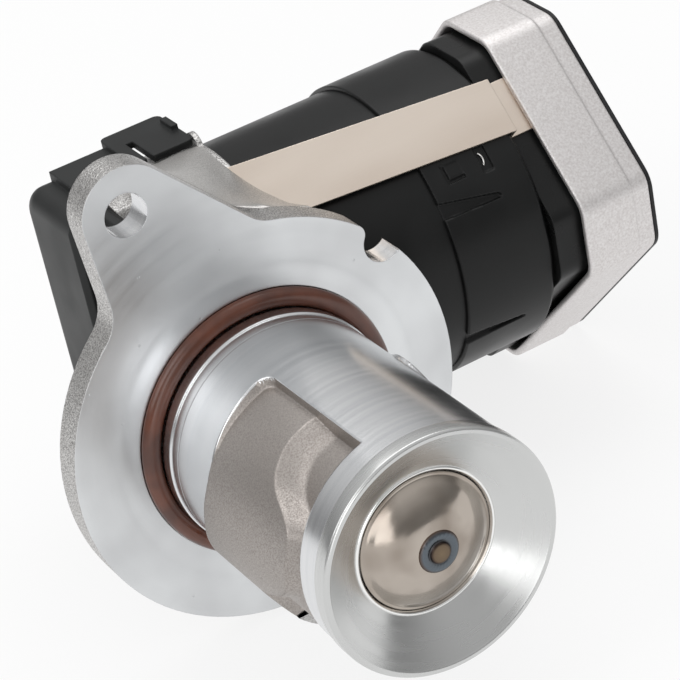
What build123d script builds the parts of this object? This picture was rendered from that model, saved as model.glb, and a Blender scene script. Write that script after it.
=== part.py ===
from build123d import *
import math
import os

# An electric exhaust gas recirculation valve, built from the pieces it comes apart into.
# The origin is the centre of the flange's mating face, on the valve's axis.
# +X runs along the motor's axis towards the end cap, -Y along the valve towards its mouth, +Z is up.
# Lengths are in millimetres and angles in degrees.

# Fits
RUN_GAP = 0.05
PART_GAP = 0.3
SEAT_GAP = 0.15

# Flange, lug and bolt notch
FLANGE_R = 42.9
FLANGE_T = 6.6
HOLE_X = -18.6
HOLE_Z = 55.4
LUG_HOLE_R = 4.5
LUG_R = 9.7
LUG_SHIFT_X = 0.6
LUG_SHIFT_Z = 0.2
LUG_LEFT_ANGLE = 185.0
LUG_RIGHT_ANGLE = 43.1
LUG_BLEND_R = 9.0
NOTCH_R = 4.5
NOTCH_INSET = 0.5
NOTCH_ANGLE = 39.3
NOTCH_LIP_R = 2.5

# Collar, neck and front rim
COLLAR_R = 24.9
COLLAR_L = 5.0
NECK_R = 24.6
NECK_TURNED_L = 20.8
RECESS_END = 55.6
RECESS_TOP_ANGLE = 106.0
RECESS_FAR_ANGLE = 322.0
RIM_R = 25.0
RIM_W = 3.8
MOUTH_Y = 65.3
RIM_LIP = 1.1
CORE_R = 23.8
CORE_SHIFT = 2.8
CORE_SHIFT_ANGLE = 225.0
CORE_END = 39.0
CORE_TAPER_L = 6.0
WAIST_WALL = 4.0
SIDE_BOSS_R = 9.5
SIDE_BOSS_REACH = 23.9
SIDE_BOSS_ANGLE = 17.0
SIDE_BOSS_Y = 24.5

# Web between the flange and the motor's socket, with its crest over the clamp strip
WEB_ROOF = 1.2
WEB_TOP = 39.4
WEB_CREST = ((16.3, 16.9), (18.0, 13.6), (19.9, 10.5), (22.7, 7.0), (25.2, 4.3), (27.3, 3.4))
WEB_SHOULDER = ((0.0, 45.0), (18.4, 45.9), (17.2, 37.4))
WEB_RUN = (3.4, 9.5, 18.0, 25.2)
WEB_ANGLES = (71.0, 64.0, 58.0, 52.0, 46.6)
WEB_ROOT = (5.0, 15.0)
WEB_SINK = 0.5
WEB_INSET = 0.3

# Gas passage, seat and poppet
SEAT_R = 16.0
SEAT_Y = 59.0
SEAT_L = 4.5
SEAT_WALL = 3.0
SEAT_LIP = 1.6
PASSAGE_STEP = 1.0
PASSAGE_END = 24.0
WINDOW_INSET = 2.0
WINDOW_L = 22.0
WINDOW_Y = 40.0
POPPET_INSET = 0.5
POPPET_RIM = 0.6
POPPET_DOME = 4.9
POPPET_BACK_T = 1.3

# Stem, guide, seal and return spring
STEM_R = 4.0
STEM_TIP = 0.5
STEM_PIP_R = 2.0
GUIDE_FRONT = 27.0
GUIDE_BACK = 8.5
SPRING_WELL_R = 10.0
WELL_FRONT = 8.0
WELL_WALL = 3.0
SEAL_T = 2.4
SPRING_R = 7.6
SPRING_WIRE = 1.3
SPRING_TURNS = 5
RETAINER_Y = 10.8
RETAINER_T = 1.6
RETAINER_R = 9.0
CLIP_T = 0.8
CLIP_R = 6.0

# Rack and gear train
LIFT = 7.0
RACK_W = 6.0
RACK_START = 20.5
RACK_END = 41.2
RACK_TOP = 3.5
RACK_PITCH_DROP = 3.0
RACK_MODULE = 1.0
RACK_PINION_TEETH = 12
DRIVE_Y = 30.0
GEAR_MODULE = 0.8
MOTOR_PINION_TEETH = 10
IDLER_TEETH = 35
IDLER_PINION_TEETH = 12
OUTPUT_TEETH = 34
TOOTH_FILL = 0.36
DRIVE_SHAFT_R = 2.5
BUSH_WALL = 1.5
IDLER_PIN_R = 1.5
GEAR_T = 2.4
LAYER_GAP = 0.6

# Mechanism case, behind the flange and left of the motor
CASE_LEFT = -6.8
CASE_RIGHT = 6.5
CASE_FRONT = 13.5
CASE_BACK = 65.5
CASE_TOP = 37.2
CASE_BOTTOM = -32.0
CASE_CORNER_R = 6.0
CHAMBER_GAP = 0.8
GASKET_T = 0.6
COVER_LEFT = -15.8
COVER_WALL = 1.8
COVER_EDGE_R = 4.0
COVER_STEP_LEFT = -9.4
COVER_STEP_BACK = 42.6
COVER_STEP_BOTTOM = 10.0
COVER_STEP_BEVEL = 1.2
SENSOR_BOARD_T = 0.8
SENSOR_BOARD_W = 16.0
SENSOR_MAGNET_T = 1.0
TONGUE_TOP = 40.2
TONGUE_LEFT = 3.6
TONGUE_RIGHT = 18.0
TONGUE_FRONT = 47.4
TONGUE_BACK = 64.0
TONGUE_T = 1.5
TONGUE_STEP = 1.3
ARM_FRONT = 51.5
TONGUE_CORNER_R = 1.6
SLIT_X = 6.7
SLIT_W = 1.6
SLIT_L = 9.8
TAB_FRONT = 54.5
TAB_BACK = 59.8
TAB_H = 1.0
TONGUE_STOP_R = 3.2
TONGUE_STOP_Y = 50.0

# Motor, its housing and its cap
MOTOR_Y = 44.0
MOTOR_Z = 2.8
HOUSING_R = 33.0
HOUSING_WALL = 2.6
HOUSING_END = 72.0
SOCKET_LEDGE = 2.5
SOCKET_X = 19.5
SOCKET_FLOOR = 11.0
SPIGOT_STEP = 1.4
SPIGOT_GAP = 0.1
CAP_WALL = 0.9
CAP_X0 = 54.0
CAP_X1 = 76.5
CAP_END_T = 2.0
CAP_CHAMFER = 1.2
CAP_SLOT_X = 68.5
CAP_SLOT_W = 3.4
CAP_SLOT_ANGLES = (152.0, 207.0)
LATCH_ANGLE = 141.0
LATCH_W = 5.0
LATCH_PLACES = ((58.6, 63.1), (69.4, 71.4))
CAN_WALL = 1.6
CAN_X0 = 13.0
CAN_X1 = 69.6
MAGNET_T = 3.2
MAGNET_X0 = 20.0
MAGNET_X1 = 60.0
MAGNET_SPAN = 140.0
AIR_GAP = 0.8
ROTOR_X0 = 23.0
ROTOR_X1 = 57.0
ROTOR_SLOTS = 12
SLOT_W = 3.4
SLOT_DEPTH = 9.0
WINDING_L = 4.5
COMMUTATOR_R = 8.0
COMMUTATOR_X0 = 62.5
COMMUTATOR_X1 = 68.6
SHAFT_R = 2.0
BEARING_R = 6.5
BEARING_T = 3.6
BRUSH_PLATE_X = 70.0
BRUSH_PLATE_T = 2.2
BRUSH_W = 4.0
BRUSH_L = 9.0
BRUSH_ANGLES = (60.0, 240.0)
HOLDER_WALL = 1.2

# End frame, end cap and clamp strip, squared on lines turned about the motor's axis
TILT = 137.0
CAP_IN = 0.6
CAP_REACH = 46.0
CAP_BEVEL = 11.5
CAP_BEVEL_R = 6.0
END_CAP_X0 = 82.5
END_CAP_STEP_X = 95.4
END_CAP_X1 = 99.9
END_CAP_STEP = 0.7
END_CAP_WALL = 1.6
END_CAP_BACK_T = 2.4
FRAME_BACK_GAP = 0.7
FRAME_PLATE_T = 3.0
FRAME_WALL = 2.0
REAR_PLATE_T = 0.8
REAR_PLATE_INSET = 0.8
BOARD_X = 88.0
BOARD_T = 1.6
BOARD_INSET = 0.7
BOARD_POST_R = 2.5
BOARD_POST_INSET = 15.2
PLUG_INSET = 7.3
PLUG_W = 8.6
PLUG_L = 26.0
PLUG_DEPTH = 17.0
PLUG_WALL = 1.4
PIN_COUNT = 6
PIN_SIZE = 0.9
STRIP_T = 0.8
STRIP_GAP = 1.1
STRIP_LOW_END = -12.6
STRIP_HIGH_END = 0.0
STRIP_LOW_START = -18.7
STRIP_HIGH_START = -4.5
STRIP_X0 = 7.0
STRIP_TAB = 9.6
STRIP_HOOK = 2.6
SCREW_R = 2.0
SCREW_L = 12.0
SCREW_HEAD_R = 3.6
SCREW_HEAD_T = 2.2
SCREW_INSET = 10.6
POST_WALL = 2.2
CHIP_T = 1.6
CHIPS = ((5.0, 4.0, 9.0, 9.0), (-12.0, -6.0, 7.0, 12.0), (-12.0, 10.0, 6.0, 6.0), (12.0, -12.0, 5.0, 8.0))

# Rings in section
O_RING_R = 26.8
O_RING_CORD = 1.78
O_RING_SINK = 0.4
O_RING_GROOVE = 0.6
O_RING_ROOM = 0.1
HOUSING_SEAL_CORD = 0.9
HOUSING_SEAL_X = 16.0

# Sizes and places worked out from the others
LUG_X = HOLE_X + LUG_SHIFT_X
LUG_Z = HOLE_Z + LUG_SHIFT_Z
SEAT_BORE_R = SEAT_R - SEAT_WALL
SEAT_MOUTH_R = SEAT_R - SEAT_LIP
PASSAGE_R = SEAT_R - PASSAGE_STEP
WAIST_R = SEAT_R + WAIST_WALL
WINDOW_W = 2 * (PASSAGE_R - WINDOW_INSET)
POPPET_R = SEAT_MOUTH_R - POPPET_INSET
SOCKET_R = HOUSING_R + SOCKET_LEDGE
SPIGOT_R = HOUSING_R - SPIGOT_STEP
CAP_R = HOUSING_R + CAP_WALL
CAP_HALF = HOUSING_R - CAP_IN
STRIP_OUT = HOUSING_R + STRIP_GAP
SOCKET_REACH = CAP_REACH - PLUG_INSET
FRAME_X1 = END_CAP_X1 - END_CAP_BACK_T - FRAME_BACK_GAP
FRAME_GAP = STRIP_T + 2 * RUN_GAP
STRIP_X1 = CAP_X1 + STRIP_T + 2 * RUN_GAP
STRIP_FOLD_OUT = CAP_HALF - END_CAP_WALL - FRAME_GAP + RUN_GAP
BORE_BACK_Y = -PASSAGE_END
DRIVE_Z = -(RACK_PITCH_DROP + RACK_MODULE * RACK_PINION_TEETH / 2)
WELL_BACK = CASE_FRONT - 0.1
PINION_TIP_R = RACK_MODULE * (RACK_PINION_TEETH / 2 + 0.85)
LEFT_BUSH_R = PINION_TIP_R + 0.5
MOTOR_TO_IDLER = GEAR_MODULE * (MOTOR_PINION_TEETH + IDLER_TEETH) / 2
IDLER_TO_DRIVE = GEAR_MODULE * (IDLER_PINION_TEETH + OUTPUT_TEETH) / 2
DRIVE_TO_MOTOR = math.hypot(MOTOR_Y - DRIVE_Y, MOTOR_Z - DRIVE_Z)
TO_MOTOR_ANGLE = math.degrees(math.atan2(MOTOR_Z - DRIVE_Z, MOTOR_Y - DRIVE_Y))
IDLER_COSINE = IDLER_TO_DRIVE**2 + DRIVE_TO_MOTOR**2 - MOTOR_TO_IDLER**2
IDLER_COSINE /= 2 * IDLER_TO_DRIVE * DRIVE_TO_MOTOR
IDLER_ANGLE = TO_MOTOR_ANGLE - math.degrees(math.acos(IDLER_COSINE))
IDLER_Y = DRIVE_Y + IDLER_TO_DRIVE * math.cos(math.radians(IDLER_ANGLE))
IDLER_Z = DRIVE_Z + IDLER_TO_DRIVE * math.sin(math.radians(IDLER_ANGLE))
OUTPUT_X1 = CASE_LEFT - CHAMBER_GAP
OUTPUT_X0 = OUTPUT_X1 - GEAR_T
WHEEL_X1 = OUTPUT_X0 - LAYER_GAP
WHEEL_X0 = WHEEL_X1 - GEAR_T
COVER_INSIDE = COVER_LEFT + COVER_WALL
SCREW_SEAT_X = END_CAP_X1 + REAR_PLATE_T - SCREW_HEAD_T
CAN_R = HOUSING_R - HOUSING_WALL - SPIGOT_GAP
ROTOR_R = CAN_R - CAN_WALL - MAGNET_T - AIR_GAP
SEAL_OUT_R = SPRING_WELL_R - RUN_GAP


def cyl_x(radius, x0, x1, y=MOTOR_Y, z=MOTOR_Z):
    """A round bar along X."""
    return Pos((x0 + x1) / 2, y, z) * Rot(0, 90, 0) * Cylinder(radius, x1 - x0)


def cyl_y(radius, y0, y1, x=0.0, z=0.0):
    """A round bar along Y."""
    return Pos(x, (y0 + y1) / 2, z) * Rot(90, 0, 0) * Cylinder(radius, y1 - y0)


def block(x0, x1, y0, y1, z0, z1):
    """A box given by its faces."""
    return Pos((x0 + x1) / 2, (y0 + y1) / 2, (z0 + z1) / 2) * Box(x1 - x0, y1 - y0, z1 - z0)


def prism_x(outline, x0, x1):
    """An outline in Y and Z, carried from x0 to x1."""
    return extrude(Plane((x0, 0, 0), (0, 1, 0), (1, 0, 0)) * outline, x1 - x0, dir=(1, 0, 0))


def prism_y(outline, y0, y1):
    """An outline in X and Z, carried from y0 to y1."""
    return extrude(Plane((0, y1, 0), (1, 0, 0), (0, -1, 0)) * outline, y1 - y0, dir=(0, -1, 0))


def turned(points):
    """A solid turned about the valve's axis from an outline of (radius, y) points."""
    return revolve(make_face(Polyline(*points, close=True)), Axis.Y)


def around_motor(shape, angle=TILT):
    """Places a shape drawn about the motor's axis, with its local Y turned to the given angle."""
    return Pos(0, MOTOR_Y, MOTOR_Z) * Rot(angle, 0, 0) * shape


def save(name, *solids):
    """Writes one node, as one solid or as a group of like ones."""
    shape = solids[0] if len(solids) == 1 else Compound(children=list(solids))
    export_step(shape, f"parts/{name}.step")


os.makedirs("parts", exist_ok=True)


def polar(radius, angle):
    """A point at a radius and an angle."""
    return radius * math.cos(math.radians(angle)), radius * math.sin(math.radians(angle))


# The flange: a round plate with one lug and a half-round notch for the second bolt
def flange_outline():
    middle = Vector(LUG_X, LUG_Z)
    left_top = middle + Vector(*polar(LUG_R, LUG_LEFT_ANGLE))
    right_top = middle + Vector(*polar(LUG_R, LUG_RIGHT_ANGLE))
    left_root = foot(left_top, LUG_LEFT_ANGLE)
    right_root = foot(right_top, LUG_RIGHT_ANGLE)
    lug = Polygon(left_top, left_root, (0, 0), right_root, right_top, align=None)
    outline = Circle(FLANGE_R) + lug + Pos(LUG_X, LUG_Z) * Circle(LUG_R)
    inner = [v for v in outline.vertices() if abs(math.hypot(v.X, v.Y) - FLANGE_R) < RUN_GAP]
    outline = fillet(inner, LUG_BLEND_R)
    outline -= Pos(*polar(FLANGE_R - NOTCH_INSET, NOTCH_ANGLE)) * Circle(NOTCH_R)
    rim = [v for v in outline.vertices() if abs(math.hypot(v.X, v.Y) - FLANGE_R) < RUN_GAP]
    lips = sorted(rim, key=lambda v: abs(math.degrees(math.atan2(v.Y, v.X)) - NOTCH_ANGLE))[:2]
    outline = fillet(max(lips, key=lambda v: v.Y), NOTCH_LIP_R)
    return outline - Pos(HOLE_X, HOLE_Z) * Circle(LUG_HOLE_R)


def foot(point, angle):
    """The point nearest the valve's axis on the line through a point that stands square to the given angle."""
    normal = Vector(*polar(1.0, angle))
    return normal * normal.dot(point)


# The neck: a turned sleeve, and the cast core that shows where the sleeve is cut away
def neck():
    sleeve = turned(
        [
            (0, FLANGE_T),
            (0, -MOUTH_Y),
            (RIM_R, -MOUTH_Y),
            (RIM_R, -MOUTH_Y + RIM_W),
            (NECK_R, -MOUTH_Y + RIM_W),
            (NECK_R, -COLLAR_L - 0.5),
            (COLLAR_R, -COLLAR_L),
            (COLLAR_R, FLANGE_T),
        ]
    )
    reach = 2 * RIM_R
    sweep = RECESS_FAR_ANGLE - RECESS_TOP_ANGLE
    corners = [polar(reach, RECESS_TOP_ANGLE + sweep * i / 4) for i in range(5)]
    wedge = Polygon((0, 0), *corners, align=None)
    sleeve -= prism_y(wedge, -RECESS_END, -NECK_TURNED_L)
    shift_x, shift_z = polar(CORE_SHIFT, CORE_SHIFT_ANGLE)
    core = cyl_y(CORE_R, -CORE_END, -COLLAR_L, shift_x, shift_z)
    core += loft(
        [
            Plane((shift_x, -CORE_END, shift_z), (1, 0, 0), (0, -1, 0)) * Circle(CORE_R),
            Plane((0, -CORE_END - CORE_TAPER_L, 0), (1, 0, 0), (0, -1, 0)) * Circle(WAIST_R),
        ]
    )
    core += cyl_y(WAIST_R, -RECESS_END, -COLLAR_L)
    core += Pos(0, -SIDE_BOSS_Y, 0) * Rot(0, -SIDE_BOSS_ANGLE, 0) * bar_x(SIDE_BOSS_R, 0, SIDE_BOSS_REACH)
    return sleeve + core


def bar_x(radius, x0, x1):
    """A round bar along X, from the axis it is placed on."""
    return Pos(x0, 0, 0) * Rot(0, 90, 0) * Cylinder(radius, x1 - x0, align=(Align.CENTER, Align.CENTER, Align.MIN))


# The web: its face runs from the flange's edge back to a crest, which hides the clamp strip's hooked end
def web():
    run = Vector(*polar(1.0, LUG_RIGHT_ANGLE - 90))
    top = Vector(LUG_X, LUG_Z) + Vector(*polar(LUG_R, LUG_RIGHT_ANGLE))
    edge = [top + run * step for step in WEB_RUN]
    edge += [Vector(*polar(FLANGE_R - WEB_INSET, angle)) for angle in WEB_ANGLES]
    edge = [Vector(point.X, FLANGE_T - WEB_SINK, point.Y) for point in edge]
    crest = [Vector(x, y, WEB_TOP) for x, y in WEB_SHOULDER]
    crest += [above_strip(x, across) for x, across in WEB_CREST]
    root = Vector(WEB_ROOT[0], FLANGE_T - WEB_SINK, WEB_ROOT[1])
    corners = [(edge[0], crest[0], root), (edge[-1], crest[-1], root)]
    for i in range(len(edge) - 1):
        corners += [(edge[i], edge[i + 1], crest[i]), (edge[i + 1], crest[i + 1], crest[i])]
        corners += [(edge[i], edge[i + 1], root), (crest[i], crest[i + 1], root)]
    faces = [Face(Wire.make_polygon(three, close=True)) for three in corners]
    return Solid(Shell(faces))


def above_strip(x, across):
    """A point of the crest, just above the clamp strip, at a place along and across it."""
    up, tilt = STRIP_OUT + STRIP_T + PART_GAP + WEB_ROOF, math.radians(TILT)
    return Vector(x, MOTOR_Y + up * math.cos(tilt) + across * math.sin(tilt),
                  MOTOR_Z + up * math.sin(tilt) - across * math.cos(tilt))


def case_outline(inset=0.0):
    """The outline in Y and Z shared by the case, the gasket and the gear cover."""
    width = CASE_BACK - CASE_FRONT - 2 * inset
    height = CASE_TOP - CASE_BOTTOM - 2 * inset
    middle = Pos((CASE_BACK + CASE_FRONT) / 2, (CASE_TOP + CASE_BOTTOM) / 2)
    return middle * RectangleRounded(width, height, CASE_CORNER_R - inset)


# The valve body, one casting: flange, neck, web, mechanism case and motor socket
def valve_body():
    body = prism_y(flange_outline(), 0, FLANGE_T) + neck() + web()
    body += prism_x(case_outline(), CASE_LEFT, CASE_RIGHT)
    body += block(CASE_LEFT, CASE_RIGHT, FLANGE_T - 1, CASE_FRONT + 1, CASE_BOTTOM + 8, CASE_TOP - 4)
    body += cyl_x(TONGUE_STOP_R, TONGUE_RIGHT + PART_GAP, SOCKET_X, TONGUE_STOP_Y, TONGUE_TOP - TONGUE_STOP_R)
    body += cyl_y(SPRING_WELL_R + WELL_WALL, FLANGE_T - 1, WELL_BACK)
    body += cyl_x(SOCKET_R, CASE_LEFT, SOCKET_X)
    body -= cyl_y(LUG_HOLE_R, -1, CASE_FRONT, HOLE_X, HOLE_Z)
    body -= cyl_x(HOUSING_R + PART_GAP, SOCKET_X, CAP_X0)
    seal_groove = HOUSING_SEAL_CORD + RUN_GAP
    body -= cyl_x(SPIGOT_R + 2 * seal_groove, HOUSING_SEAL_X - seal_groove, HOUSING_SEAL_X + seal_groove)
    body -= cyl_x(SPIGOT_R + SPIGOT_GAP, SOCKET_FLOOR, SOCKET_X + 1)
    body -= turned(
        [
            (0, -MOUTH_Y),
            (RIM_R - RIM_LIP, -MOUTH_Y),
            (SEAT_MOUTH_R, -SEAT_Y),
            (SEAT_R, -SEAT_Y),
            (SEAT_R, -SEAT_Y + SEAT_L),
            (PASSAGE_R, -SEAT_Y + SEAT_L),
            (PASSAGE_R, BORE_BACK_Y),
            (0, BORE_BACK_Y),
        ]
    )
    body -= cyl_y(SPRING_WELL_R, BORE_BACK_Y - 1, WELL_BACK)
    body -= cyl_y(math.hypot(RACK_W / 2, RACK_TOP + 0.5) + PART_GAP, WELL_BACK - 1, RACK_START)
    body -= block(-SPRING_WELL_R, SPRING_WELL_R, FLANGE_T + 0.5, WELL_BACK, -FLANGE_R, 0)
    body -= block(-WINDOW_W / 2, WINDOW_W / 2, -WINDOW_Y - WINDOW_L / 2, -WINDOW_Y + WINDOW_L / 2, -40, -5)
    rack_slot = RACK_W / 2 + 1
    body -= block(-rack_slot, rack_slot, RACK_START - 2, RACK_END + 1.5, -5.0, RACK_TOP + 1)
    body -= cyl_x(LEFT_BUSH_R, CASE_LEFT - 1, rack_slot, DRIVE_Y, DRIVE_Z)
    body -= cyl_x(DRIVE_SHAFT_R + BUSH_WALL, 0, SOCKET_FLOOR - 1.5, DRIVE_Y, DRIVE_Z)
    body -= cyl_x(IDLER_PIN_R, CASE_LEFT - 1, CASE_LEFT + 6, IDLER_Y, IDLER_Z)
    body -= cyl_x(BEARING_R - 2, CASE_LEFT - 1, SOCKET_FLOOR)
    body -= cyl_x(BEARING_R, SOCKET_FLOOR - BEARING_T, SOCKET_FLOOR)
    body -= around_motor(strap(STRIP_T + PART_GAP, PART_GAP) + strip_hook(PART_GAP))
    ring_room = O_RING_CORD + O_RING_ROOM
    groove = cyl_y(O_RING_R + ring_room, -O_RING_SINK - ring_room, -O_RING_SINK + ring_room)
    return body - (groove - cyl_y(COLLAR_R - O_RING_GROOVE, -FLANGE_T, FLANGE_T))


def strip_outline(margin=0.0):
    """The strip's tapered outline, in X and across the strip."""
    return Polygon(
        (STRIP_X0 - margin, STRIP_LOW_START - margin),
        (STRIP_X1 + margin, STRIP_LOW_END - margin),
        (STRIP_X1 + margin, STRIP_HIGH_END + margin),
        (STRIP_X0 - margin, STRIP_HIGH_START + margin),
        align=None,
    )


def strap(thickness, margin=0.0):
    """The flat run of the strip, before it is turned about the motor's axis."""
    face = Plane((0, STRIP_OUT, 0), x_dir=(1, 0, 0), z_dir=(0, -1, 0)) * strip_outline(margin)
    return extrude(face, thickness, dir=(0, 1, 0))


def strip_hook(margin=0.0):
    """The bent-down end that holds the strip in the casting."""
    width = STRIP_HIGH_START - STRIP_LOW_START + 2 * margin
    hook = Box(STRIP_T + 2 * margin, STRIP_HOOK + margin, width, align=(Align.MIN, Align.MAX, Align.MIN))
    return Pos(STRIP_X0 - margin, STRIP_OUT, STRIP_LOW_START - margin) * hook


# Seat ring, pressed in behind the trumpet
def seat_ring():
    return turned(
        [
            (SEAT_BORE_R, -SEAT_Y + SEAT_L),
            (SEAT_BORE_R, -SEAT_Y + SEAT_MOUTH_R - SEAT_BORE_R),
            (SEAT_MOUTH_R, -SEAT_Y),
            (SEAT_R, -SEAT_Y),
            (SEAT_R, -SEAT_Y + SEAT_L),
        ]
    )


# Poppet: a domed disc on the stem, with its cone held just off the seat
def poppet():
    face_y = -SEAT_Y + SEAT_MOUTH_R - POPPET_R - SEAT_GAP
    rim_y = face_y - POPPET_RIM
    dome_y = rim_y - POPPET_DOME
    back_y = face_y + POPPET_BACK_T
    dome = ThreePointArc((STEM_R, dome_y + 0.35), (POPPET_R * 0.62, dome_y + 1.75), (POPPET_R - 0.5, rim_y))
    rest = Polyline(
        (POPPET_R - 0.5, rim_y),
        (POPPET_R, rim_y),
        (POPPET_R, face_y),
        (POPPET_R - POPPET_BACK_T, back_y),
        (STEM_R, back_y),
        (STEM_R, dome_y + 0.35),
    )
    return revolve(make_face([dome, rest]), Axis.Y), dome_y


# Stem: a round bar with the rack milled on its rear end and a welded tip in the dome
def stem(dome_y):
    bar = cyl_y(STEM_R, dome_y + 0.1, RACK_START)
    bar += cyl_y(STEM_PIP_R, dome_y - STEM_TIP, dome_y + 1)
    bar += block(-RACK_W / 2, RACK_W / 2, RACK_START, RACK_END, -RACK_PITCH_DROP - RACK_MODULE, RACK_TOP)
    bar -= cyl_ring(CLIP_R, STEM_R - 0.6, RETAINER_Y + RETAINER_T, RETAINER_Y + RETAINER_T + CLIP_T)
    pitch = math.pi * RACK_MODULE
    tip = pitch * (1 - TOOTH_FILL) / 2 + 0.35 * RACK_MODULE
    root = pitch * (1 - TOOTH_FILL) / 2 - 0.35 * RACK_MODULE
    for step in range(-3, 4):
        gap_y = DRIVE_Y + step * pitch
        if RACK_START + tip < gap_y < RACK_END - tip:
            gap = Polygon(
                (gap_y - tip, -RACK_PITCH_DROP - RACK_MODULE - 0.1),
                (gap_y - root, -RACK_PITCH_DROP + 1.2 * RACK_MODULE),
                (gap_y + root, -RACK_PITCH_DROP + 1.2 * RACK_MODULE),
                (gap_y + tip, -RACK_PITCH_DROP - RACK_MODULE - 0.1),
                align=None,
            )
            bar -= prism_x(gap, -RACK_W, RACK_W)
    return bar


def cyl_ring(outer, inner, y0, y1):
    """A flat ring about the valve's axis."""
    return cyl_y(outer, y0, y1) - cyl_y(inner, y0 - 1, y1 + 1)


# Spur gear: tapered teeth, thin enough at the pitch line to run free
def gear(module, teeth, x0, x1, y, z, bore, phase=0.0):
    pitch_r = module * teeth / 2
    root_r = pitch_r - 1.2 * module
    tip_r = pitch_r + 0.85 * module
    half = TOOTH_FILL * math.pi * module / 2
    tooth = Polygon(
        (root_r - 0.3, -1.35 * half),
        (pitch_r, -half),
        (tip_r, -0.45 * half),
        (tip_r, 0.45 * half),
        (pitch_r, half),
        (root_r - 0.3, 1.35 * half),
        align=None,
    )
    outline = Circle(root_r)
    for i in range(teeth):
        outline += Rot(0, 0, phase + 360 * i / teeth) * tooth
    return prism_x(Pos(y, z) * (outline - Circle(bore)), x0, x1)


# Return spring: a wire coil between the seal and the retainer
def return_spring():
    start_y = -WELL_FRONT + SEAL_T + SPRING_WIRE / 2
    end_y = RETAINER_Y - SPRING_WIRE / 2
    helix = Helix(pitch=(end_y - start_y) / SPRING_TURNS, height=end_y - start_y, radius=SPRING_R)
    section = Plane(helix @ 0, z_dir=helix % 0) * Circle(SPRING_WIRE / 2)
    return Pos(0, end_y, 0) * Rot(90, 0, 0) * sweep(section, path=helix, is_frenet=True)


def squared(inset, x0, x1):
    """The end cap's bevelled outline, less an inset, with its short side towards the clamp strip."""
    low, high = -CAP_REACH + inset, CAP_HALF - inset
    outline = Pos((low + high) / 2, 0) * Rectangle(high - low, 2 * high)
    outline = chamfer(outline.vertices(), CAP_BEVEL - inset * (2 - math.sqrt(2)))
    return around_motor(prism_x(fillet(outline.vertices(), CAP_BEVEL_R), x0, x1))


# Gear cover: a black tub over the gears, with a snap tongue that hooks over the case
def gear_cover():
    rim_x = CASE_LEFT - GASKET_T
    cover = prism_x(case_outline(), COVER_LEFT, rim_x)
    cover = fillet(cover.faces().sort_by(Axis.X)[0].edges(), COVER_EDGE_R)
    cover -= cover_step(0.0)
    cover -= prism_x(case_outline(COVER_WALL), COVER_INSIDE, rim_x) - cover_step(COVER_WALL)
    arm_back, arm_top = TONGUE_BACK - COVER_WALL, TONGUE_TOP - TONGUE_STEP
    cover += block(COVER_STEP_LEFT, rim_x, ARM_FRONT, arm_back, CASE_TOP - COVER_WALL, arm_top)
    arm_right = TONGUE_LEFT + TONGUE_CORNER_R
    tongue = block(COVER_STEP_LEFT, arm_right, ARM_FRONT, arm_back, CASE_TOP + PART_GAP, arm_top)
    plate = block(TONGUE_LEFT, TONGUE_RIGHT, TONGUE_FRONT, TONGUE_BACK, TONGUE_TOP - TONGUE_T, TONGUE_TOP)
    plate = fillet(plate.edges().filter_by(Axis.Z), TONGUE_CORNER_R)
    low, slit_back, tab_left = TONGUE_TOP - TONGUE_T, TONGUE_FRONT + SLIT_L, TONGUE_RIGHT - TONGUE_T
    plate -= block(SLIT_X, SLIT_X + SLIT_W, TONGUE_FRONT - 1, slit_back, low - 1, TONGUE_TOP + 1)
    tongue += plate + block(tab_left, TONGUE_RIGHT, TAB_FRONT, TAB_BACK, low, TONGUE_TOP + TAB_H)
    return cover + (tongue - cyl_x(SOCKET_R + PART_GAP, CASE_LEFT, TONGUE_RIGHT + 1))


def cover_step(wall):
    """The lower front corner of the cover, grown by a wall for the space inside it."""
    left, low, back = COVER_STEP_LEFT + wall, COVER_STEP_BOTTOM - wall, COVER_STEP_BACK + wall
    bevel_front, bevel_left = back - COVER_STEP_BEVEL, COVER_LEFT + COVER_STEP_BEVEL
    front = Polygon((COVER_LEFT - 1, CASE_FRONT - 1), (left, CASE_FRONT - 1), (left, bevel_front),
                    (bevel_left, bevel_front), (COVER_LEFT - 1, back + 1), align=None)
    return extrude(Plane.XY.offset(low) * front, CASE_TOP, dir=(0, 0, 1))


# Motor housing: a plastic cup with a spigot that enters the socket
def motor_housing():
    shell = cyl_x(SPIGOT_R, SOCKET_FLOOR, SOCKET_X + 1) + cyl_x(HOUSING_R, SOCKET_X, HOUSING_END)
    shell -= cyl_x(HOUSING_R - HOUSING_WALL, CAN_X0, HOUSING_END + 1)
    return shell - cyl_x(BEARING_R, SOCKET_FLOOR - 1, CAN_X0 + 1)


# Motor cap: a second plastic shell that snaps over the housing's end
def motor_cap():
    cap = cyl_x(CAP_R, CAP_X0, CAP_X1)
    cap = chamfer(cap.faces().sort_by(Axis.X)[-1].edges(), CAP_CHAMFER)
    cap -= cyl_x(HOUSING_R + RUN_GAP, CAP_X0 - 1, CAP_X1 - CAP_END_T)
    cap -= cyl_x(BEARING_R + 2, CAP_X0, CAP_X1 + 1)
    cuts = [(CAP_X0 - 1, CAP_SLOT_X, CAP_SLOT_W, angle) for angle in CAP_SLOT_ANGLES]
    cuts += [(x0, x1, LATCH_W, LATCH_ANGLE) for x0, x1 in LATCH_PLACES]
    for x0, x1, width, angle in cuts:
        cut = Box(x1 - x0, 2 * CAP_WALL, width, align=(Align.MIN, Align.MIN, Align.CENTER))
        cap -= around_motor(Pos(x0, HOUSING_R - RUN_GAP, 0) * cut, angle)
    return cap


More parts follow.
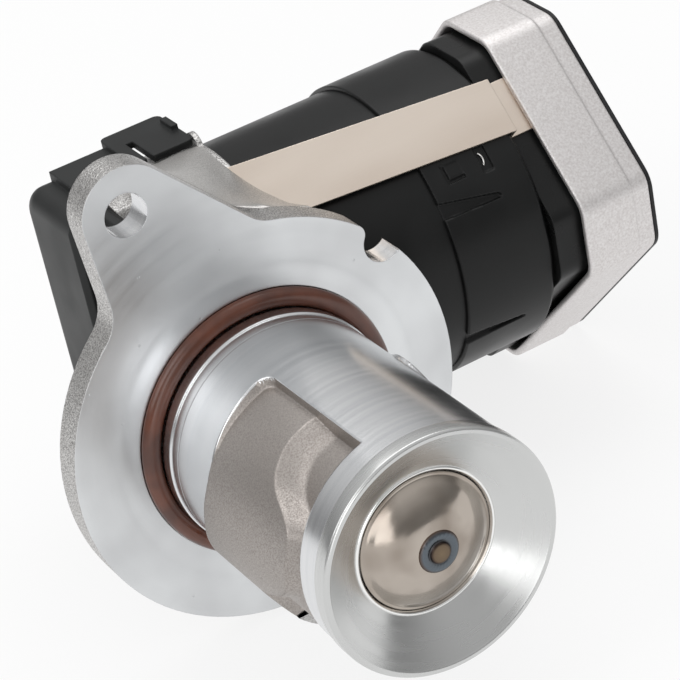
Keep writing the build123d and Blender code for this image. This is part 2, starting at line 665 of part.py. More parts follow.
# Magnets: two arcs inside the can
def magnet(angle):
    outer = CAN_R - CAN_WALL
    ring = cyl_x(outer, MAGNET_X0, MAGNET_X1) - cyl_x(outer - MAGNET_T, MAGNET_X0 - 1, MAGNET_X1 + 1)
    half = MAGNET_SPAN / 2
    corners = [polar(2 * outer, angle + half * i / 2) for i in range(-2, 3)]
    wedge = Pos(MOTOR_Y, MOTOR_Z) * Polygon((0, 0), *corners, align=None)
    return ring & prism_x(wedge, MAGNET_X0, MAGNET_X1)


# Rotor core: a slotted stack of laminations
def rotor_core():
    core = cyl_x(ROTOR_R, ROTOR_X0, ROTOR_X1) - cyl_x(SHAFT_R, ROTOR_X0 - 1, ROTOR_X1 + 1)
    for i in range(ROTOR_SLOTS):
        slot = Box(ROTOR_X1 - ROTOR_X0 + 2, SLOT_DEPTH, SLOT_W, align=(Align.MIN, Align.MAX, Align.CENTER))
        core -= around_motor(Pos(ROTOR_X0 - 1, ROTOR_R - 1.4, 0) * slot, 360 * i / ROTOR_SLOTS)
        mouth = Box(ROTOR_X1 - ROTOR_X0 + 2, 4, 1.2, align=(Align.MIN, Align.MAX, Align.CENTER))
        core -= around_motor(Pos(ROTOR_X0 - 1, ROTOR_R + 1, 0) * mouth, 360 * i / ROTOR_SLOTS)
    return core


# Windings: a rounded ring of end turns at each side of the core, joined through the slots
def windings():
    outer = ROTOR_R - 1.8
    inner = ROTOR_R - SLOT_DEPTH - 1.0
    ring_left = cyl_x(outer, ROTOR_X0 - WINDING_L, ROTOR_X0) - cyl_x(inner, ROTOR_X0 - 9, ROTOR_X0 + 1)
    ring_right = cyl_x(outer, ROTOR_X1, ROTOR_X1 + WINDING_L) - cyl_x(inner, ROTOR_X1 - 1, ROTOR_X1 + 9)
    coils = ring_left + ring_right
    for i in range(ROTOR_SLOTS):
        length = ROTOR_X1 - ROTOR_X0 + 1
        bar = Box(length, SLOT_DEPTH - 1.2, SLOT_W - 0.6, align=(Align.MIN, Align.MAX, Align.CENTER))
        coils += around_motor(Pos(ROTOR_X0 - 0.5, ROTOR_R - 2.0, 0) * bar, 360 * i / ROTOR_SLOTS)
    return coils


# End frame: the black squarish tray between cap and end cap, with the plug socket on its long side
def end_frame():
    inset = END_CAP_WALL + FRAME_GAP
    frame = squared(inset, CAP_X1, FRAME_X1)
    frame -= squared(inset + FRAME_WALL, CAP_X1 + FRAME_PLATE_T, FRAME_X1 + 1)
    frame += cyl_x(BEARING_R + 2, CAP_X1 - CAP_END_T, CAP_X1 + FRAME_PLATE_T + 1)
    frame -= cyl_x(BEARING_R, CAP_X1 - CAP_END_T - 1, CAP_X1 + FRAME_PLATE_T - 0.9)
    for place in corner_places(SCREW_INSET):
        frame += around_motor(place * bar_x(SCREW_R + POST_WALL, CAP_X1, END_CAP_X1 - END_CAP_BACK_T))
        frame -= around_motor(place * bar_x(SCREW_R, CAP_X1 + FRAME_PLATE_T, END_CAP_X1))
    for place in corner_places(BOARD_POST_INSET):
        frame += around_motor(place * bar_x(BOARD_POST_R, CAP_X1, BOARD_X))
    shroud = Box(PLUG_DEPTH, PLUG_W, PLUG_L, align=(Align.MAX, Align.CENTER, Align.CENTER))
    hollow = Box(PLUG_DEPTH, PLUG_W - 2 * PLUG_WALL, PLUG_L - 2 * PLUG_WALL,
                 align=(Align.MAX, Align.CENTER, Align.CENTER))
    frame += around_motor(Pos(CAP_X1 + 0.5, -SOCKET_REACH, 0) * shroud)
    frame -= around_motor(Pos(CAP_X1 - 1.0, -SOCKET_REACH, 0) * hollow)
    for place in pin_places():
        frame -= around_motor(Pos(CAP_X1, -SOCKET_REACH, place) * Box(20, PIN_SIZE, PIN_SIZE))
    return frame


def pin_places():
    """Where the pins stand along the socket's length."""
    step = (PLUG_L - 2 * PLUG_WALL) / (PIN_COUNT + 1)
    return [step * (i - (PIN_COUNT - 1) / 2) for i in range(PIN_COUNT)]


# End cap: a die-cast shell over the end frame, stepped in near its back
def end_cap():
    cap = squared(0, END_CAP_X0, END_CAP_STEP_X) + squared(END_CAP_STEP, END_CAP_STEP_X - 1, END_CAP_X1)
    cap -= squared(END_CAP_WALL, END_CAP_X0 - 1, END_CAP_X1 - END_CAP_BACK_T)
    return cap - screw_holes()


def screw_holes():
    """The four screws' holes, with room for their sunk heads."""
    holes = bar_x(SCREW_R + PART_GAP, END_CAP_X0, END_CAP_X1 + 1)
    holes += bar_x(SCREW_HEAD_R + PART_GAP, SCREW_SEAT_X, END_CAP_X1 + SCREW_HEAD_T)
    return Compound([around_motor(place * holes) for place in corner_places(SCREW_INSET)])


def corner_places(inset):
    """The four places inside the end cap's corners, where the screws and the board's posts stand."""
    side = CAP_HALF - inset
    far = CAP_REACH - inset
    return [Pos(0, u, w) for u in (side, -far) for w in (side, -side)]


# Clamp strip: a spring steel strap, hooked into the case and folded in under the end cap's edge
def clamp_strip():
    width = STRIP_HIGH_END - STRIP_LOW_END
    fold = Box(STRIP_T, STRIP_OUT - STRIP_FOLD_OUT + STRIP_T, width, align=(Align.MAX, Align.MIN, Align.MIN))
    tab = Box(STRIP_TAB, STRIP_T, width, align=(Align.MIN, Align.MIN, Align.MIN))
    strip = strap(STRIP_T) + strip_hook()
    strip += Pos(STRIP_X1, STRIP_FOLD_OUT, STRIP_LOW_END) * fold
    strip += Pos(STRIP_X1 - STRIP_T, STRIP_FOLD_OUT, STRIP_LOW_END) * tab
    return around_motor(strip)


def screw():
    """A pan-head screw along X, with its head on +X and the head's seat at the origin."""
    socket = Pos(SCREW_HEAD_T / 2, 0, 0) * Rot(0, 90, 0) * extrude(RegularPolygon(1.6, 6), SCREW_HEAD_T)
    return bar_x(SCREW_HEAD_R, 0, SCREW_HEAD_T) + bar_x(SCREW_R - RUN_GAP, -SCREW_L, 0) - socket


save("valve_body", valve_body())
save("seat_ring", seat_ring())
poppet_head, dome_y = poppet()
save("poppet_head", poppet_head)
save("valve_stem", stem(dome_y))
save("stem_guide_bush", cyl_ring(SPRING_WELL_R, STEM_R + RUN_GAP, -GUIDE_FRONT, -GUIDE_BACK))
save("stem_seal", cyl_ring(SEAL_OUT_R, STEM_R + RUN_GAP, -WELL_FRONT, -WELL_FRONT + SEAL_T))
save("return_spring", return_spring())
save("spring_retainer", cyl_ring(RETAINER_R, STEM_R, RETAINER_Y, RETAINER_Y + RETAINER_T))
save("retainer_clip", cyl_ring(CLIP_R, STEM_R - 0.6, RETAINER_Y + RETAINER_T, RETAINER_Y + RETAINER_T + CLIP_T))
save("flange_o_ring", Pos(0, -O_RING_SINK, 0) * Rot(90, 0, 0) * Torus(O_RING_R, O_RING_CORD))

# Drive shaft, with the pinion that moves the rack, in two bushes
pinion_half = RACK_W / 2 + 0.5
shaft_left = COVER_INSIDE + SENSOR_BOARD_T + PART_GAP + SENSOR_MAGNET_T
shaft_right = SOCKET_FLOOR - 2.0
pinion = gear(RACK_MODULE, RACK_PINION_TEETH, -pinion_half, pinion_half, DRIVE_Y, DRIVE_Z, 0.5, 90.0)
save("drive_shaft", pinion + cyl_x(DRIVE_SHAFT_R, shaft_left, shaft_right, DRIVE_Y, DRIVE_Z))
bushes = []
left_bush = (LEFT_BUSH_R, CASE_LEFT, -pinion_half - PART_GAP)
right_bush = (DRIVE_SHAFT_R + BUSH_WALL, RACK_W / 2 + 1, shaft_right)
for bush_r, x0, x1 in (left_bush, right_bush):
    bush = cyl_x(bush_r, x0, x1, DRIVE_Y, DRIVE_Z)
    bushes.append(bush - cyl_x(DRIVE_SHAFT_R + RUN_GAP, x0 - 1, x1 + 1, DRIVE_Y, DRIVE_Z))
save("drive_bushes", *bushes)
output_phase = IDLER_ANGLE
save("output_gear", gear(GEAR_MODULE, OUTPUT_TEETH, OUTPUT_X0, OUTPUT_X1, DRIVE_Y, DRIVE_Z, DRIVE_SHAFT_R,
                         output_phase))
save("sensor_magnet", cyl_x(DRIVE_SHAFT_R, shaft_left - SENSOR_MAGNET_T, shaft_left, DRIVE_Y, DRIVE_Z))

# Idler gear: a wheel and a small pinion in one, on a fixed pin
small_phase = IDLER_ANGLE + 180 + 180 / IDLER_PINION_TEETH
wheel_angle = math.degrees(math.atan2(MOTOR_Z - IDLER_Z, MOTOR_Y - IDLER_Y))
idler = gear(GEAR_MODULE, IDLER_TEETH, WHEEL_X0, WHEEL_X1, IDLER_Y, IDLER_Z, IDLER_PIN_R + RUN_GAP, wheel_angle)
idler += gear(GEAR_MODULE, IDLER_PINION_TEETH, WHEEL_X1, OUTPUT_X1, IDLER_Y, IDLER_Z, IDLER_PIN_R + RUN_GAP,
              small_phase)
save("idler_gear", idler)
save("idler_pin", cyl_x(IDLER_PIN_R, WHEEL_X0 - 0.3, CASE_LEFT + 6, IDLER_Y, IDLER_Z))

# Motor: pinion, shaft, core, windings and commutator turn together
rotor_phase = wheel_angle + 180 + 180 / MOTOR_PINION_TEETH
save("motor_pinion", gear(GEAR_MODULE, MOTOR_PINION_TEETH, WHEEL_X0, WHEEL_X1, MOTOR_Y, MOTOR_Z, SHAFT_R,
                          rotor_phase))
rear_bearing_x = CAP_X1 + FRAME_PLATE_T - 0.9
save("rotor_shaft", cyl_x(SHAFT_R, WHEEL_X0, rear_bearing_x - 0.2))
save("rotor_core", rotor_core())
save("rotor_windings", windings())
save("commutator", cyl_x(COMMUTATOR_R, COMMUTATOR_X0, COMMUTATOR_X1) - cyl_x(SHAFT_R, COMMUTATOR_X0 - 1, 80))
bearings = (("front", SOCKET_FLOOR - BEARING_T), ("rear", rear_bearing_x - BEARING_T))
for label, x0 in bearings:
    race = cyl_x(BEARING_R, x0, x0 + BEARING_T) - cyl_x(SHAFT_R + RUN_GAP, x0 - 1, x0 + BEARING_T + 1)
    save(f"rotor_bearing_{label}", race)
can = cyl_x(CAN_R, CAN_X0, CAN_X1) - cyl_x(CAN_R - CAN_WALL, CAN_X0 + CAN_WALL, CAN_X1 + 1)
save("motor_can", can - cyl_x(BEARING_R, CAN_X0 - 1, CAN_X1))
save("motor_magnets", magnet(0.0), magnet(180.0))
plate = cyl_x(CAN_R, BRUSH_PLATE_X, BRUSH_PLATE_X + BRUSH_PLATE_T)
plate -= cyl_x(SHAFT_R + 1, BRUSH_PLATE_X - 1, BRUSH_PLATE_X + 9)
holders = []
brushes = []
outwards = (Align.MAX, Align.MIN, Align.CENTER)
for angle in BRUSH_ANGLES:
    holder = Box(BRUSH_W + 2 * HOLDER_WALL, BRUSH_L - 1, BRUSH_W + 2 * HOLDER_WALL, align=outwards)
    carbon = Box(BRUSH_W, BRUSH_L, BRUSH_W, align=outwards)
    way = Box(BRUSH_W + RUN_GAP, CAN_R, BRUSH_W + 2 * RUN_GAP, align=outwards)
    plate += around_motor(Pos(BRUSH_PLATE_X + RUN_GAP, COMMUTATOR_R + 2, 0) * holder, angle)
    plate -= around_motor(Pos(BRUSH_PLATE_X - HOLDER_WALL, COMMUTATOR_R, 0) * way, angle)
    brushes.append(around_motor(Pos(BRUSH_PLATE_X - HOLDER_WALL, COMMUTATOR_R + PART_GAP, 0) * carbon, angle))
save("brush_plate", plate)
save("brushes", *brushes)
save("motor_housing", motor_housing())
seal_ring = Torus(SPIGOT_R + RUN_GAP + HOUSING_SEAL_CORD, HOUSING_SEAL_CORD)
save("housing_seal", Pos(HOUSING_SEAL_X, MOTOR_Y, MOTOR_Z) * Rot(0, 90, 0) * seal_ring)
save("motor_cap", motor_cap())

# End of the motor: frame, board, chips, pins, end cap and its back plate
save("end_frame", end_frame())
board_inset = END_CAP_WALL + FRAME_GAP + FRAME_WALL + BOARD_INSET
board = squared(board_inset, BOARD_X, BOARD_X + BOARD_T)
for place in corner_places(SCREW_INSET):
    board -= around_motor(place * bar_x(SCREW_R + POST_WALL + PART_GAP, BOARD_X - 1, BOARD_X + 9))
pin_x0 = CAP_X1 - PLUG_DEPTH + 6
pin_x1 = BOARD_X + BOARD_T + 1
pins = []
for w in pin_places():
    pin = Box(pin_x1 - pin_x0, PIN_SIZE, PIN_SIZE, align=(Align.MIN, Align.CENTER, Align.CENTER))
    pins.append(around_motor(Pos(pin_x0, -SOCKET_REACH, w) * pin))
    board -= pins[-1]
save("circuit_board", board)
save("connector_pins", *pins)
chips = []
for u, w, chip_l, chip_w in CHIPS:
    chip = Box(CHIP_T, chip_l, chip_w, align=(Align.MIN, Align.CENTER, Align.CENTER))
    chips.append(around_motor(Pos(BOARD_X + BOARD_T, u, w) * chip))
save("board_chips", *chips)
save("end_cap", end_cap())
save("rear_plate", squared(REAR_PLATE_INSET, END_CAP_X1, END_CAP_X1 + REAR_PLATE_T) - screw_holes())
sunk = Pos(SCREW_SEAT_X, 0, 0)
save("end_cap_screws", *[around_motor(place * sunk * screw()) for place in corner_places(SCREW_INSET)])
save("clamp_strip", clamp_strip())

# Left side: gear cover, gasket and position sensor board
save("gear_cover", gear_cover())
save("cover_gasket", prism_x(case_outline() - case_outline(COVER_WALL), CASE_LEFT - GASKET_T, CASE_LEFT))
sensor = block(COVER_INSIDE, COVER_INSIDE + SENSOR_BOARD_T, CASE_FRONT + COVER_WALL + 1, DRIVE_Y + DRIVE_SHAFT_R,
               DRIVE_Z - SENSOR_BOARD_W / 2, DRIVE_Z + SENSOR_BOARD_W / 2)
save("sensor_board", sensor)
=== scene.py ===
import math

import bmesh
import bpy
import numpy as np
from mathutils import Matrix, Vector


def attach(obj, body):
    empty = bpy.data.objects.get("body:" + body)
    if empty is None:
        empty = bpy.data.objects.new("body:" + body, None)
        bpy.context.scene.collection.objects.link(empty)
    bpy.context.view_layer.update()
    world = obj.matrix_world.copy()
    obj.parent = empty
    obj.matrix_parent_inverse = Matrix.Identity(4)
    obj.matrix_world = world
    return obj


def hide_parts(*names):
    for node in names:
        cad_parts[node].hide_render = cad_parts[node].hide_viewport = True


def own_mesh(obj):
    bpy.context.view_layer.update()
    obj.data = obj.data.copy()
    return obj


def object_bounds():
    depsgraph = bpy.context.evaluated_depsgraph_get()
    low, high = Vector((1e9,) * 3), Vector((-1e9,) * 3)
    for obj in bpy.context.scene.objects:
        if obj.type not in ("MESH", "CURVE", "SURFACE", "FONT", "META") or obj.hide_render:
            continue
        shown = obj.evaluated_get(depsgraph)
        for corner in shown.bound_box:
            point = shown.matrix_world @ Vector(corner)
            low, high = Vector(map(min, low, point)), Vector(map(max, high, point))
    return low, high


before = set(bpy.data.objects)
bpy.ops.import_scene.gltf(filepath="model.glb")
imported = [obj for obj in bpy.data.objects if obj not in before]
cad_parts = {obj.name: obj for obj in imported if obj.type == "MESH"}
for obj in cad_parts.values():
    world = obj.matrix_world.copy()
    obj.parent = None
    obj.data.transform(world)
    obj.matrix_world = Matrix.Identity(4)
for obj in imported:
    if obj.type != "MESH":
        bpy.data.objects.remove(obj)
cad_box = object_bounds()
scene = bpy.context.scene
MM = 0.001

# The camera stands in front of the mouth, to its left and above, as in the photograph.
# Its place, its turn about the view and its lens were fitted to the outlines of flange, neck and caps.
CAMERA_AZIMUTH = math.radians(-24.4)
CAMERA_HEIGHT = math.radians(29.85)
CAMERA_ROLL = math.radians(-12.62)
CAMERA_DISTANCE = 599.02 * MM
CAMERA_ASIDE = -14.0 * MM
CAMERA_ABOVE = -16.1 * MM
CAMERA_LENS = 159.23

back = Vector((
    math.sin(CAMERA_AZIMUTH) * math.cos(CAMERA_HEIGHT),
    -math.cos(CAMERA_AZIMUTH) * math.cos(CAMERA_HEIGHT),
    math.sin(CAMERA_HEIGHT),
))
level = Vector((math.cos(CAMERA_AZIMUTH), math.sin(CAMERA_AZIMUTH), 0))
upright = back.cross(level)
right = level * math.cos(CAMERA_ROLL) + upright * math.sin(CAMERA_ROLL)
up = upright * math.cos(CAMERA_ROLL) - level * math.sin(CAMERA_ROLL)
camera = bpy.data.objects.new("camera", bpy.data.cameras.new("camera"))
camera.data.sensor_width = 36
camera.data.lens = CAMERA_LENS
camera.data.clip_start = 0.01
camera.data.clip_end = 20
place = Matrix((right, up, back)).transposed().to_4x4()
place.translation = back * CAMERA_DISTANCE - right * CAMERA_ASIDE - up * CAMERA_ABOVE
camera.matrix_world = place
scene.collection.objects.link(camera)
scene.camera = camera
scene.view_settings.view_transform = "Standard"

# The stage is a pale floor at the valve's lowest point, which is white to the camera and in reflections.
# It keeps the valve's soft shadow.
FLOOR_SIZE = 6.0
FLOOR_DROP = 0.3 * MM
FLOOR_WHITE = 0.82


def add(tree, kind, setting=None, **inputs):
    """Adds a shader node with its setting and its inputs, each by its name or by its number as i0, i1, i2."""
    made = tree.nodes.new(kind)
    if setting:
        key, value = setting
        setattr(made, key, value)
    for key, value in inputs.items():
        numbered = key[0] == "i" and key[1:].isdigit()
        socket = made.inputs[int(key[1:]) if numbered else key.replace("_", " ")]
        if isinstance(value, bpy.types.NodeSocket):
            tree.links.new(value, socket)
        else:
            socket.default_value = value
    return made


def blank_tree(block):
    """An empty node tree for a material or a world."""
    block.use_nodes = True
    block.node_tree.nodes.clear()
    return block.node_tree


floor_mesh = bpy.data.meshes.new("floor")
half = FLOOR_SIZE / 2
floor_z = cad_box[0].z - FLOOR_DROP
corners = [(-half, -half, floor_z), (half, -half, floor_z), (half, half, floor_z), (-half, half, floor_z)]
floor_mesh.from_pydata(corners, [], [(0, 1, 2, 3)])
floor = bpy.data.objects.new("floor", floor_mesh)
scene.collection.objects.link(floor)
floor_paint = bpy.data.materials.new("floor_paint")
tree = blank_tree(floor_paint)
rays = add(tree, "ShaderNodeLightPath")
seen = add(tree, "ShaderNodeMath", ("operation", "MAXIMUM"), i0=rays.outputs["Is Camera Ray"],
           i1=rays.outputs["Is Glossy Ray"])
seen = add(tree, "ShaderNodeMath", ("operation", "MAXIMUM"), i0=seen.outputs[0],
           i1=rays.outputs["Is Transmission Ray"])
share = add(tree, "ShaderNodeMath", ("operation", "MULTIPLY"), i0=seen.outputs[0], i1=FLOOR_WHITE)
matt = add(tree, "ShaderNodeBsdfDiffuse", Color=(0.9, 0.9, 0.9, 1))
glow = add(tree, "ShaderNodeEmission", Color=(1, 1, 1, 1), Strength=1.0)
mixed = add(tree, "ShaderNodeMixShader", i0=share.outputs[0], i1=matt.outputs[0], i2=glow.outputs[0])
add(tree, "ShaderNodeOutputMaterial", Surface=mixed.outputs[0])
floor_mesh.materials.append(floor_paint)

# The studio round the stage is white to the camera. On the valve it is a pale room,
# brighter overhead than at eye level, so that polished metal shows soft bands. Three softboxes light it.
ROOM_LOW = 0.26
ROOM_HIGH = 0.72
RISE_START = 0.05
RISE_END = 0.75

studio = bpy.data.worlds.new("studio")
scene.world = studio
tree = blank_tree(studio)
rays = add(tree, "ShaderNodeLightPath")
way = add(tree, "ShaderNodeTexCoord")
parts = add(tree, "ShaderNodeSeparateXYZ", i0=way.outputs["Generated"])
rise = add(tree, "ShaderNodeMapRange", ("interpolation_type", "SMOOTHSTEP"), Value=parts.outputs["Z"],
           From_Min=RISE_START, From_Max=RISE_END, To_Min=ROOM_LOW, To_Max=ROOM_HIGH)
room = add(tree, "ShaderNodeBackground", Color=(1, 1, 1, 1), Strength=rise.outputs["Result"])
white = add(tree, "ShaderNodeBackground", Color=(1, 1, 1, 1), Strength=1.0)
mixed = add(tree, "ShaderNodeMixShader", i0=rays.outputs["Is Camera Ray"], i1=room.outputs[0],
            i2=white.outputs[0])
add(tree, "ShaderNodeOutputWorld", Surface=mixed.outputs[0])


def softbox(name, spot, size, power, aim=(0.02, 0.0, 0.0)):
    """An oblong area lamp that faces the valve."""
    lamp = bpy.data.lights.new(name, "AREA")
    lamp.shape = "RECTANGLE"
    lamp.size, lamp.size_y = size
    lamp.energy = power
    holder = bpy.data.objects.new(name, lamp)
    holder.location = spot
    holder.rotation_euler = (Vector(spot) - Vector(aim)).to_track_quat("Z", "Y").to_euler()
    scene.collection.objects.link(holder)


softbox("lamp_front", (-0.55, -0.92, 0.27), (0.42, 0.72), 1.8)
softbox("lamp_left", (-0.95, -0.1, 0.75), (0.6, 0.9), 3.5)
softbox("lamp_top", (0.2, 0.35, 1.15), (1.2, 0.8), 5.0)

# The valve body is one aluminium casting: flange, lug, web, gear case and motor socket, left as it came
# from sand and machined only on the flange's face, the bolt holes, the collar and the neck. Its CAD faces
# are kept, apart from those that the neck, the mouth and the web stand for.
NECK_START = 17.0
NECK_END = 222.0
NECK_R = 24.6
RING_Y = -61.5
WEB_TOP_Z = 39.4
COLLAR_R = 24.9
COLLAR_Y = -5.0
GROOVE_Y = -2.28
GROOVE_R = 24.3
MOUTH_SEAT_R = 14.4
MOUTH_SEAT_Y = -59.0
CORE_LEAST_R = 18.5
RIM_LEAST_R = 23.85
SEAM = 0.03


def merged_copy(source):
    """A copy of a CAD node's mesh with its doubled points joined, as a bmesh."""
    shape = bmesh.new()
    shape.from_mesh(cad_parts[source].data)
    bmesh.ops.remove_doubles(shape, verts=shape.verts, dist=0.001 * MM)
    return shape


def polar(radius, angle):
    """Across and up, at a radius and an angle in degrees."""
    return np.array([radius * np.cos(np.radians(angle)), radius * np.sin(np.radians(angle))])


def finish(name, color, metallic, rough, **sockets):
    """A material with these values on its shader's own sockets."""
    paint = bpy.data.materials.new(name)
    paint.use_nodes = True
    shader = paint.node_tree.nodes["Principled BSDF"]
    shader.inputs["Base Color"].default_value = (*color, 1)
    shader.inputs["Metallic"].default_value = metallic
    shader.inputs["Roughness"].default_value = rough
    for key, value in sockets.items():
        shader.inputs[key.replace("_", " ")].default_value = value
    return paint, paint.node_tree, shader


def place_mm(tree, stretch=(1, 1, 1)):
    """The point on the object in millimetres, stretched along each axis."""
    spot = add(tree, "ShaderNodeTexCoord")
    scaled = add(tree, "ShaderNodeVectorMath", ("operation", "MULTIPLY"), i0=spot.outputs["Object"],
                 i1=tuple(s / MM for s in stretch))
    return scaled.outputs[0]


def mottle(tree, spot, size, detail=2.0):
    """Soft noise with patches of about the given size in millimetres."""
    return add(tree, "ShaderNodeTexNoise", Vector=spot, Scale=1 / size, Detail=detail).outputs[0]


def between(tree, value, low, high, start=0.35, end=0.65):
    """A value carried from one range to another."""
    made = add(tree, "ShaderNodeMapRange", Value=value, From_Min=start, From_Max=end, To_Min=low, To_Max=high)
    return made.outputs["Result"]


def tint(tree, shader, value, dark, pale, start=0.35, end=0.65):
    """Colours a shader between two colours by a value."""
    ramp = add(tree, "ShaderNodeValToRGB", Fac=value)
    ramp.color_ramp.elements[0].position = start
    ramp.color_ramp.elements[0].color = (*dark, 1)
    ramp.color_ramp.elements[1].position = end
    ramp.color_ramp.elements[1].color = (*pale, 1)
    tree.links.new(ramp.outputs[0], shader.inputs["Base Color"])


def relief(tree, shader, *layers, edge=0.3):
    """Rounds the edges by a radius and raises each layer, a height and its depth, both in millimetres."""
    normal = add(tree, "ShaderNodeBevel", ("samples", 6), Radius=edge * MM).outputs[0]
    for height, depth in layers:
        normal = add(tree, "ShaderNodeBump", Height=height, Distance=depth * MM, Normal=normal).outputs[0]
    tree.links.new(normal, shader.inputs["Normal"])


def cast_aluminium(name, dark, pale, rough, depth):
    """Sand-cast skin: grain in two sizes, raised by a depth in millimetres, with bright specks."""
    paint, tree, shader = finish(name, pale, 1.0, rough)
    spot = place_mm(tree)
    coarse = mottle(tree, spot, 0.7, 3.0)
    fine = mottle(tree, spot, 0.28, 2.0)
    tint(tree, shader, fine, dark, pale, 0.36, 0.62)
    tree.links.new(between(tree, fine, rough + 0.08, rough - 0.12), shader.inputs["Roughness"])
    relief(tree, shader, (coarse, depth), (fine, 0.8 * depth), edge=0.45)
    return paint


def turned_aluminium():
    """Fine grooves round the valve's axis, which draw reflections out along it."""
    paint, tree, shader = finish("turned_aluminium", (0.74, 0.745, 0.76), 1.0, 0.22)
    grooves = mottle(tree, place_mm(tree, (0, 1, 0)), 0.16, 3.0)
    bands = mottle(tree, place_mm(tree, (0.01, 1, 0.01)), 1.6, 2.0)
    tree.links.new(between(tree, bands, 0.2, 0.25), shader.inputs["Roughness"])
    tint(tree, shader, bands, (0.70, 0.71, 0.725), (0.76, 0.765, 0.775))
    relief(tree, shader, (grooves, 0.0015), edge=0.2)
    return paint


def faced_aluminium():
    """A face cut by one turning pass: rings round the valve's axis on a satin ground, with a few pits."""
    paint, tree, shader = finish("faced_aluminium", (0.62, 0.635, 0.645), 1.0, 0.36)
    spot = place_mm(tree)
    apart = add(tree, "ShaderNodeVectorMath", ("operation", "MULTIPLY"), i0=spot, i1=(1, 0, 1)).outputs[0]
    out = add(tree, "ShaderNodeVectorMath", ("operation", "LENGTH"), i0=apart).outputs["Value"]
    line = add(tree, "ShaderNodeCombineXYZ", X=out).outputs[0]
    rings = mottle(tree, line, 0.35, 3.0)
    wide = mottle(tree, line, 3.0, 1.0)
    clouds = mottle(tree, spot, 18.0, 2.0)
    pits = add(tree, "ShaderNodeTexVoronoi", Vector=spot, Scale=1 / 5.5).outputs["Distance"]
    pits = between(tree, pits, 0.0, 1.0, 0.035, 0.06)
    ground = add(tree, "ShaderNodeMath", ("operation", "MULTIPLY"), i0=clouds, i1=pits).outputs[0]
    tint(tree, shader, ground, (0.64, 0.65, 0.66), (0.74, 0.755, 0.765))
    tree.links.new(between(tree, wide, 0.28, 0.4), shader.inputs["Roughness"])
    relief(tree, shader, (rings, 0.006), (clouds, 0.05), (pits, 0.05), edge=0.25)
    return paint


cast_skin = cast_aluminium("cast_aluminium", (0.26, 0.25, 0.245), (0.72, 0.71, 0.695), 0.40, 0.13)
turned_skin = turned_aluminium()
faced_skin = faced_aluminium()

# Points of the web's edge on the flange and of its crest, in millimetres, and the root it narrows to.
LUG_CENTRE = (-18.0, 55.6)
LUG_R = 9.7
LUG_RIGHT_ANGLE = 43.1
FLANGE_R = 42.9
FLANGE_BACK = 6.6
MOTOR_Y = 44.0
MOTOR_Z = 2.8
TILT = 137.0
CREST_OUT = 36.4
CREST_ALONG = ((16.3, 16.9), (18.0, 13.6), (19.9, 10.5), (22.7, 7.0), (25.2, 4.3), (27.3, 3.4))

run_way = polar(1.0, LUG_RIGHT_ANGLE - 90)
run_start = np.array(LUG_CENTRE) + polar(LUG_R, LUG_RIGHT_ANGLE)
web_edge = [run_start + run_way * step for step in (3.4, 9.5, 18.0, 25.2)]
web_edge += [polar(FLANGE_R - 0.3, angle) for angle in (71.0, 64.0, 58.0, 52.0, 46.6)]
web_edge = np.array([(x, FLANGE_BACK - 0.5, z) for x, z in web_edge])
outward, sideways = polar(1.0, TILT), polar(1.0, TILT - 90)
web_crest = [(0.0, 45.0, WEB_TOP_Z), (18.4, 45.9, WEB_TOP_Z), (17.2, 37.4, WEB_TOP_Z)]
crest_middle = (MOTOR_Y, MOTOR_Z) + CREST_OUT * outward
web_crest += [(x, *(crest_middle + across * sideways)) for x, across in CREST_ALONG]
web_crest = np.array(web_crest)
web_root = np.array((5.0, FLANGE_BACK - 0.5, 15.0))
web_sides = [(web_edge[0], web_crest[0], web_root), (web_edge[-1], web_crest[-1], web_root)]
for i in range(len(web_edge) - 1):
    web_sides.append((web_edge[i], web_edge[i + 1], web_crest[i]))
    web_sides.append((web_edge[i + 1], web_crest[i + 1], web_crest[i]))
    web_sides.append((web_crest[i], web_crest[i + 1], web_root))


def on_side(corners, start, middles, side):
    """True for the faces whose corners lie in the plane of a web side and whose middle lies inside it."""
    a, b, c = side
    square = np.cross(b - a, c - a)
    size = np.linalg.norm(square)
    square = square / size
    off = np.maximum.reduceat(np.abs((corners - a) @ square), start)
    shares = [np.cross(q - p, middles - p) @ square / size for p, q in ((a, b), (b, c), (c, a))]
    return (off <= SEAM) & (np.min(shares, axis=0) > -0.01)


def replaced_faces(corners, start):
    """True for the casting's faces that the neck, the mouth and the web stand for.

    Each face's corners, in millimetres, follow each other from its start."""
    middles = np.add.reduceat(corners, start) / np.diff(np.append(start, len(corners)))[:, None]
    angle = np.degrees(np.arctan2(middles[:, 2], middles[:, 0])) % 360
    least_out = np.minimum.reduceat(np.hypot(corners[:, 0], corners[:, 2]), start)
    least_y = np.minimum.reduceat(corners[:, 1], start)
    most_y = np.maximum.reduceat(corners[:, 1], start)
    of_neck = (least_out > CORE_LEAST_R) & (most_y < GROOVE_Y + SEAM) & (least_y > RING_Y - SEAM)
    of_neck &= (angle > NECK_START) & (angle < NECK_END)
    of_rim = (least_out > RIM_LEAST_R) & (most_y < RING_Y + SEAM)
    of_mouth = (least_out > MOUTH_SEAT_R - SEAM) & (most_y < MOUTH_SEAT_Y + SEAM)
    of_web = np.any([on_side(corners, start, middles, side) for side in web_sides], axis=0)
    of_web &= most_y > FLANGE_BACK - 1
    return of_neck | of_rim | of_mouth | of_web


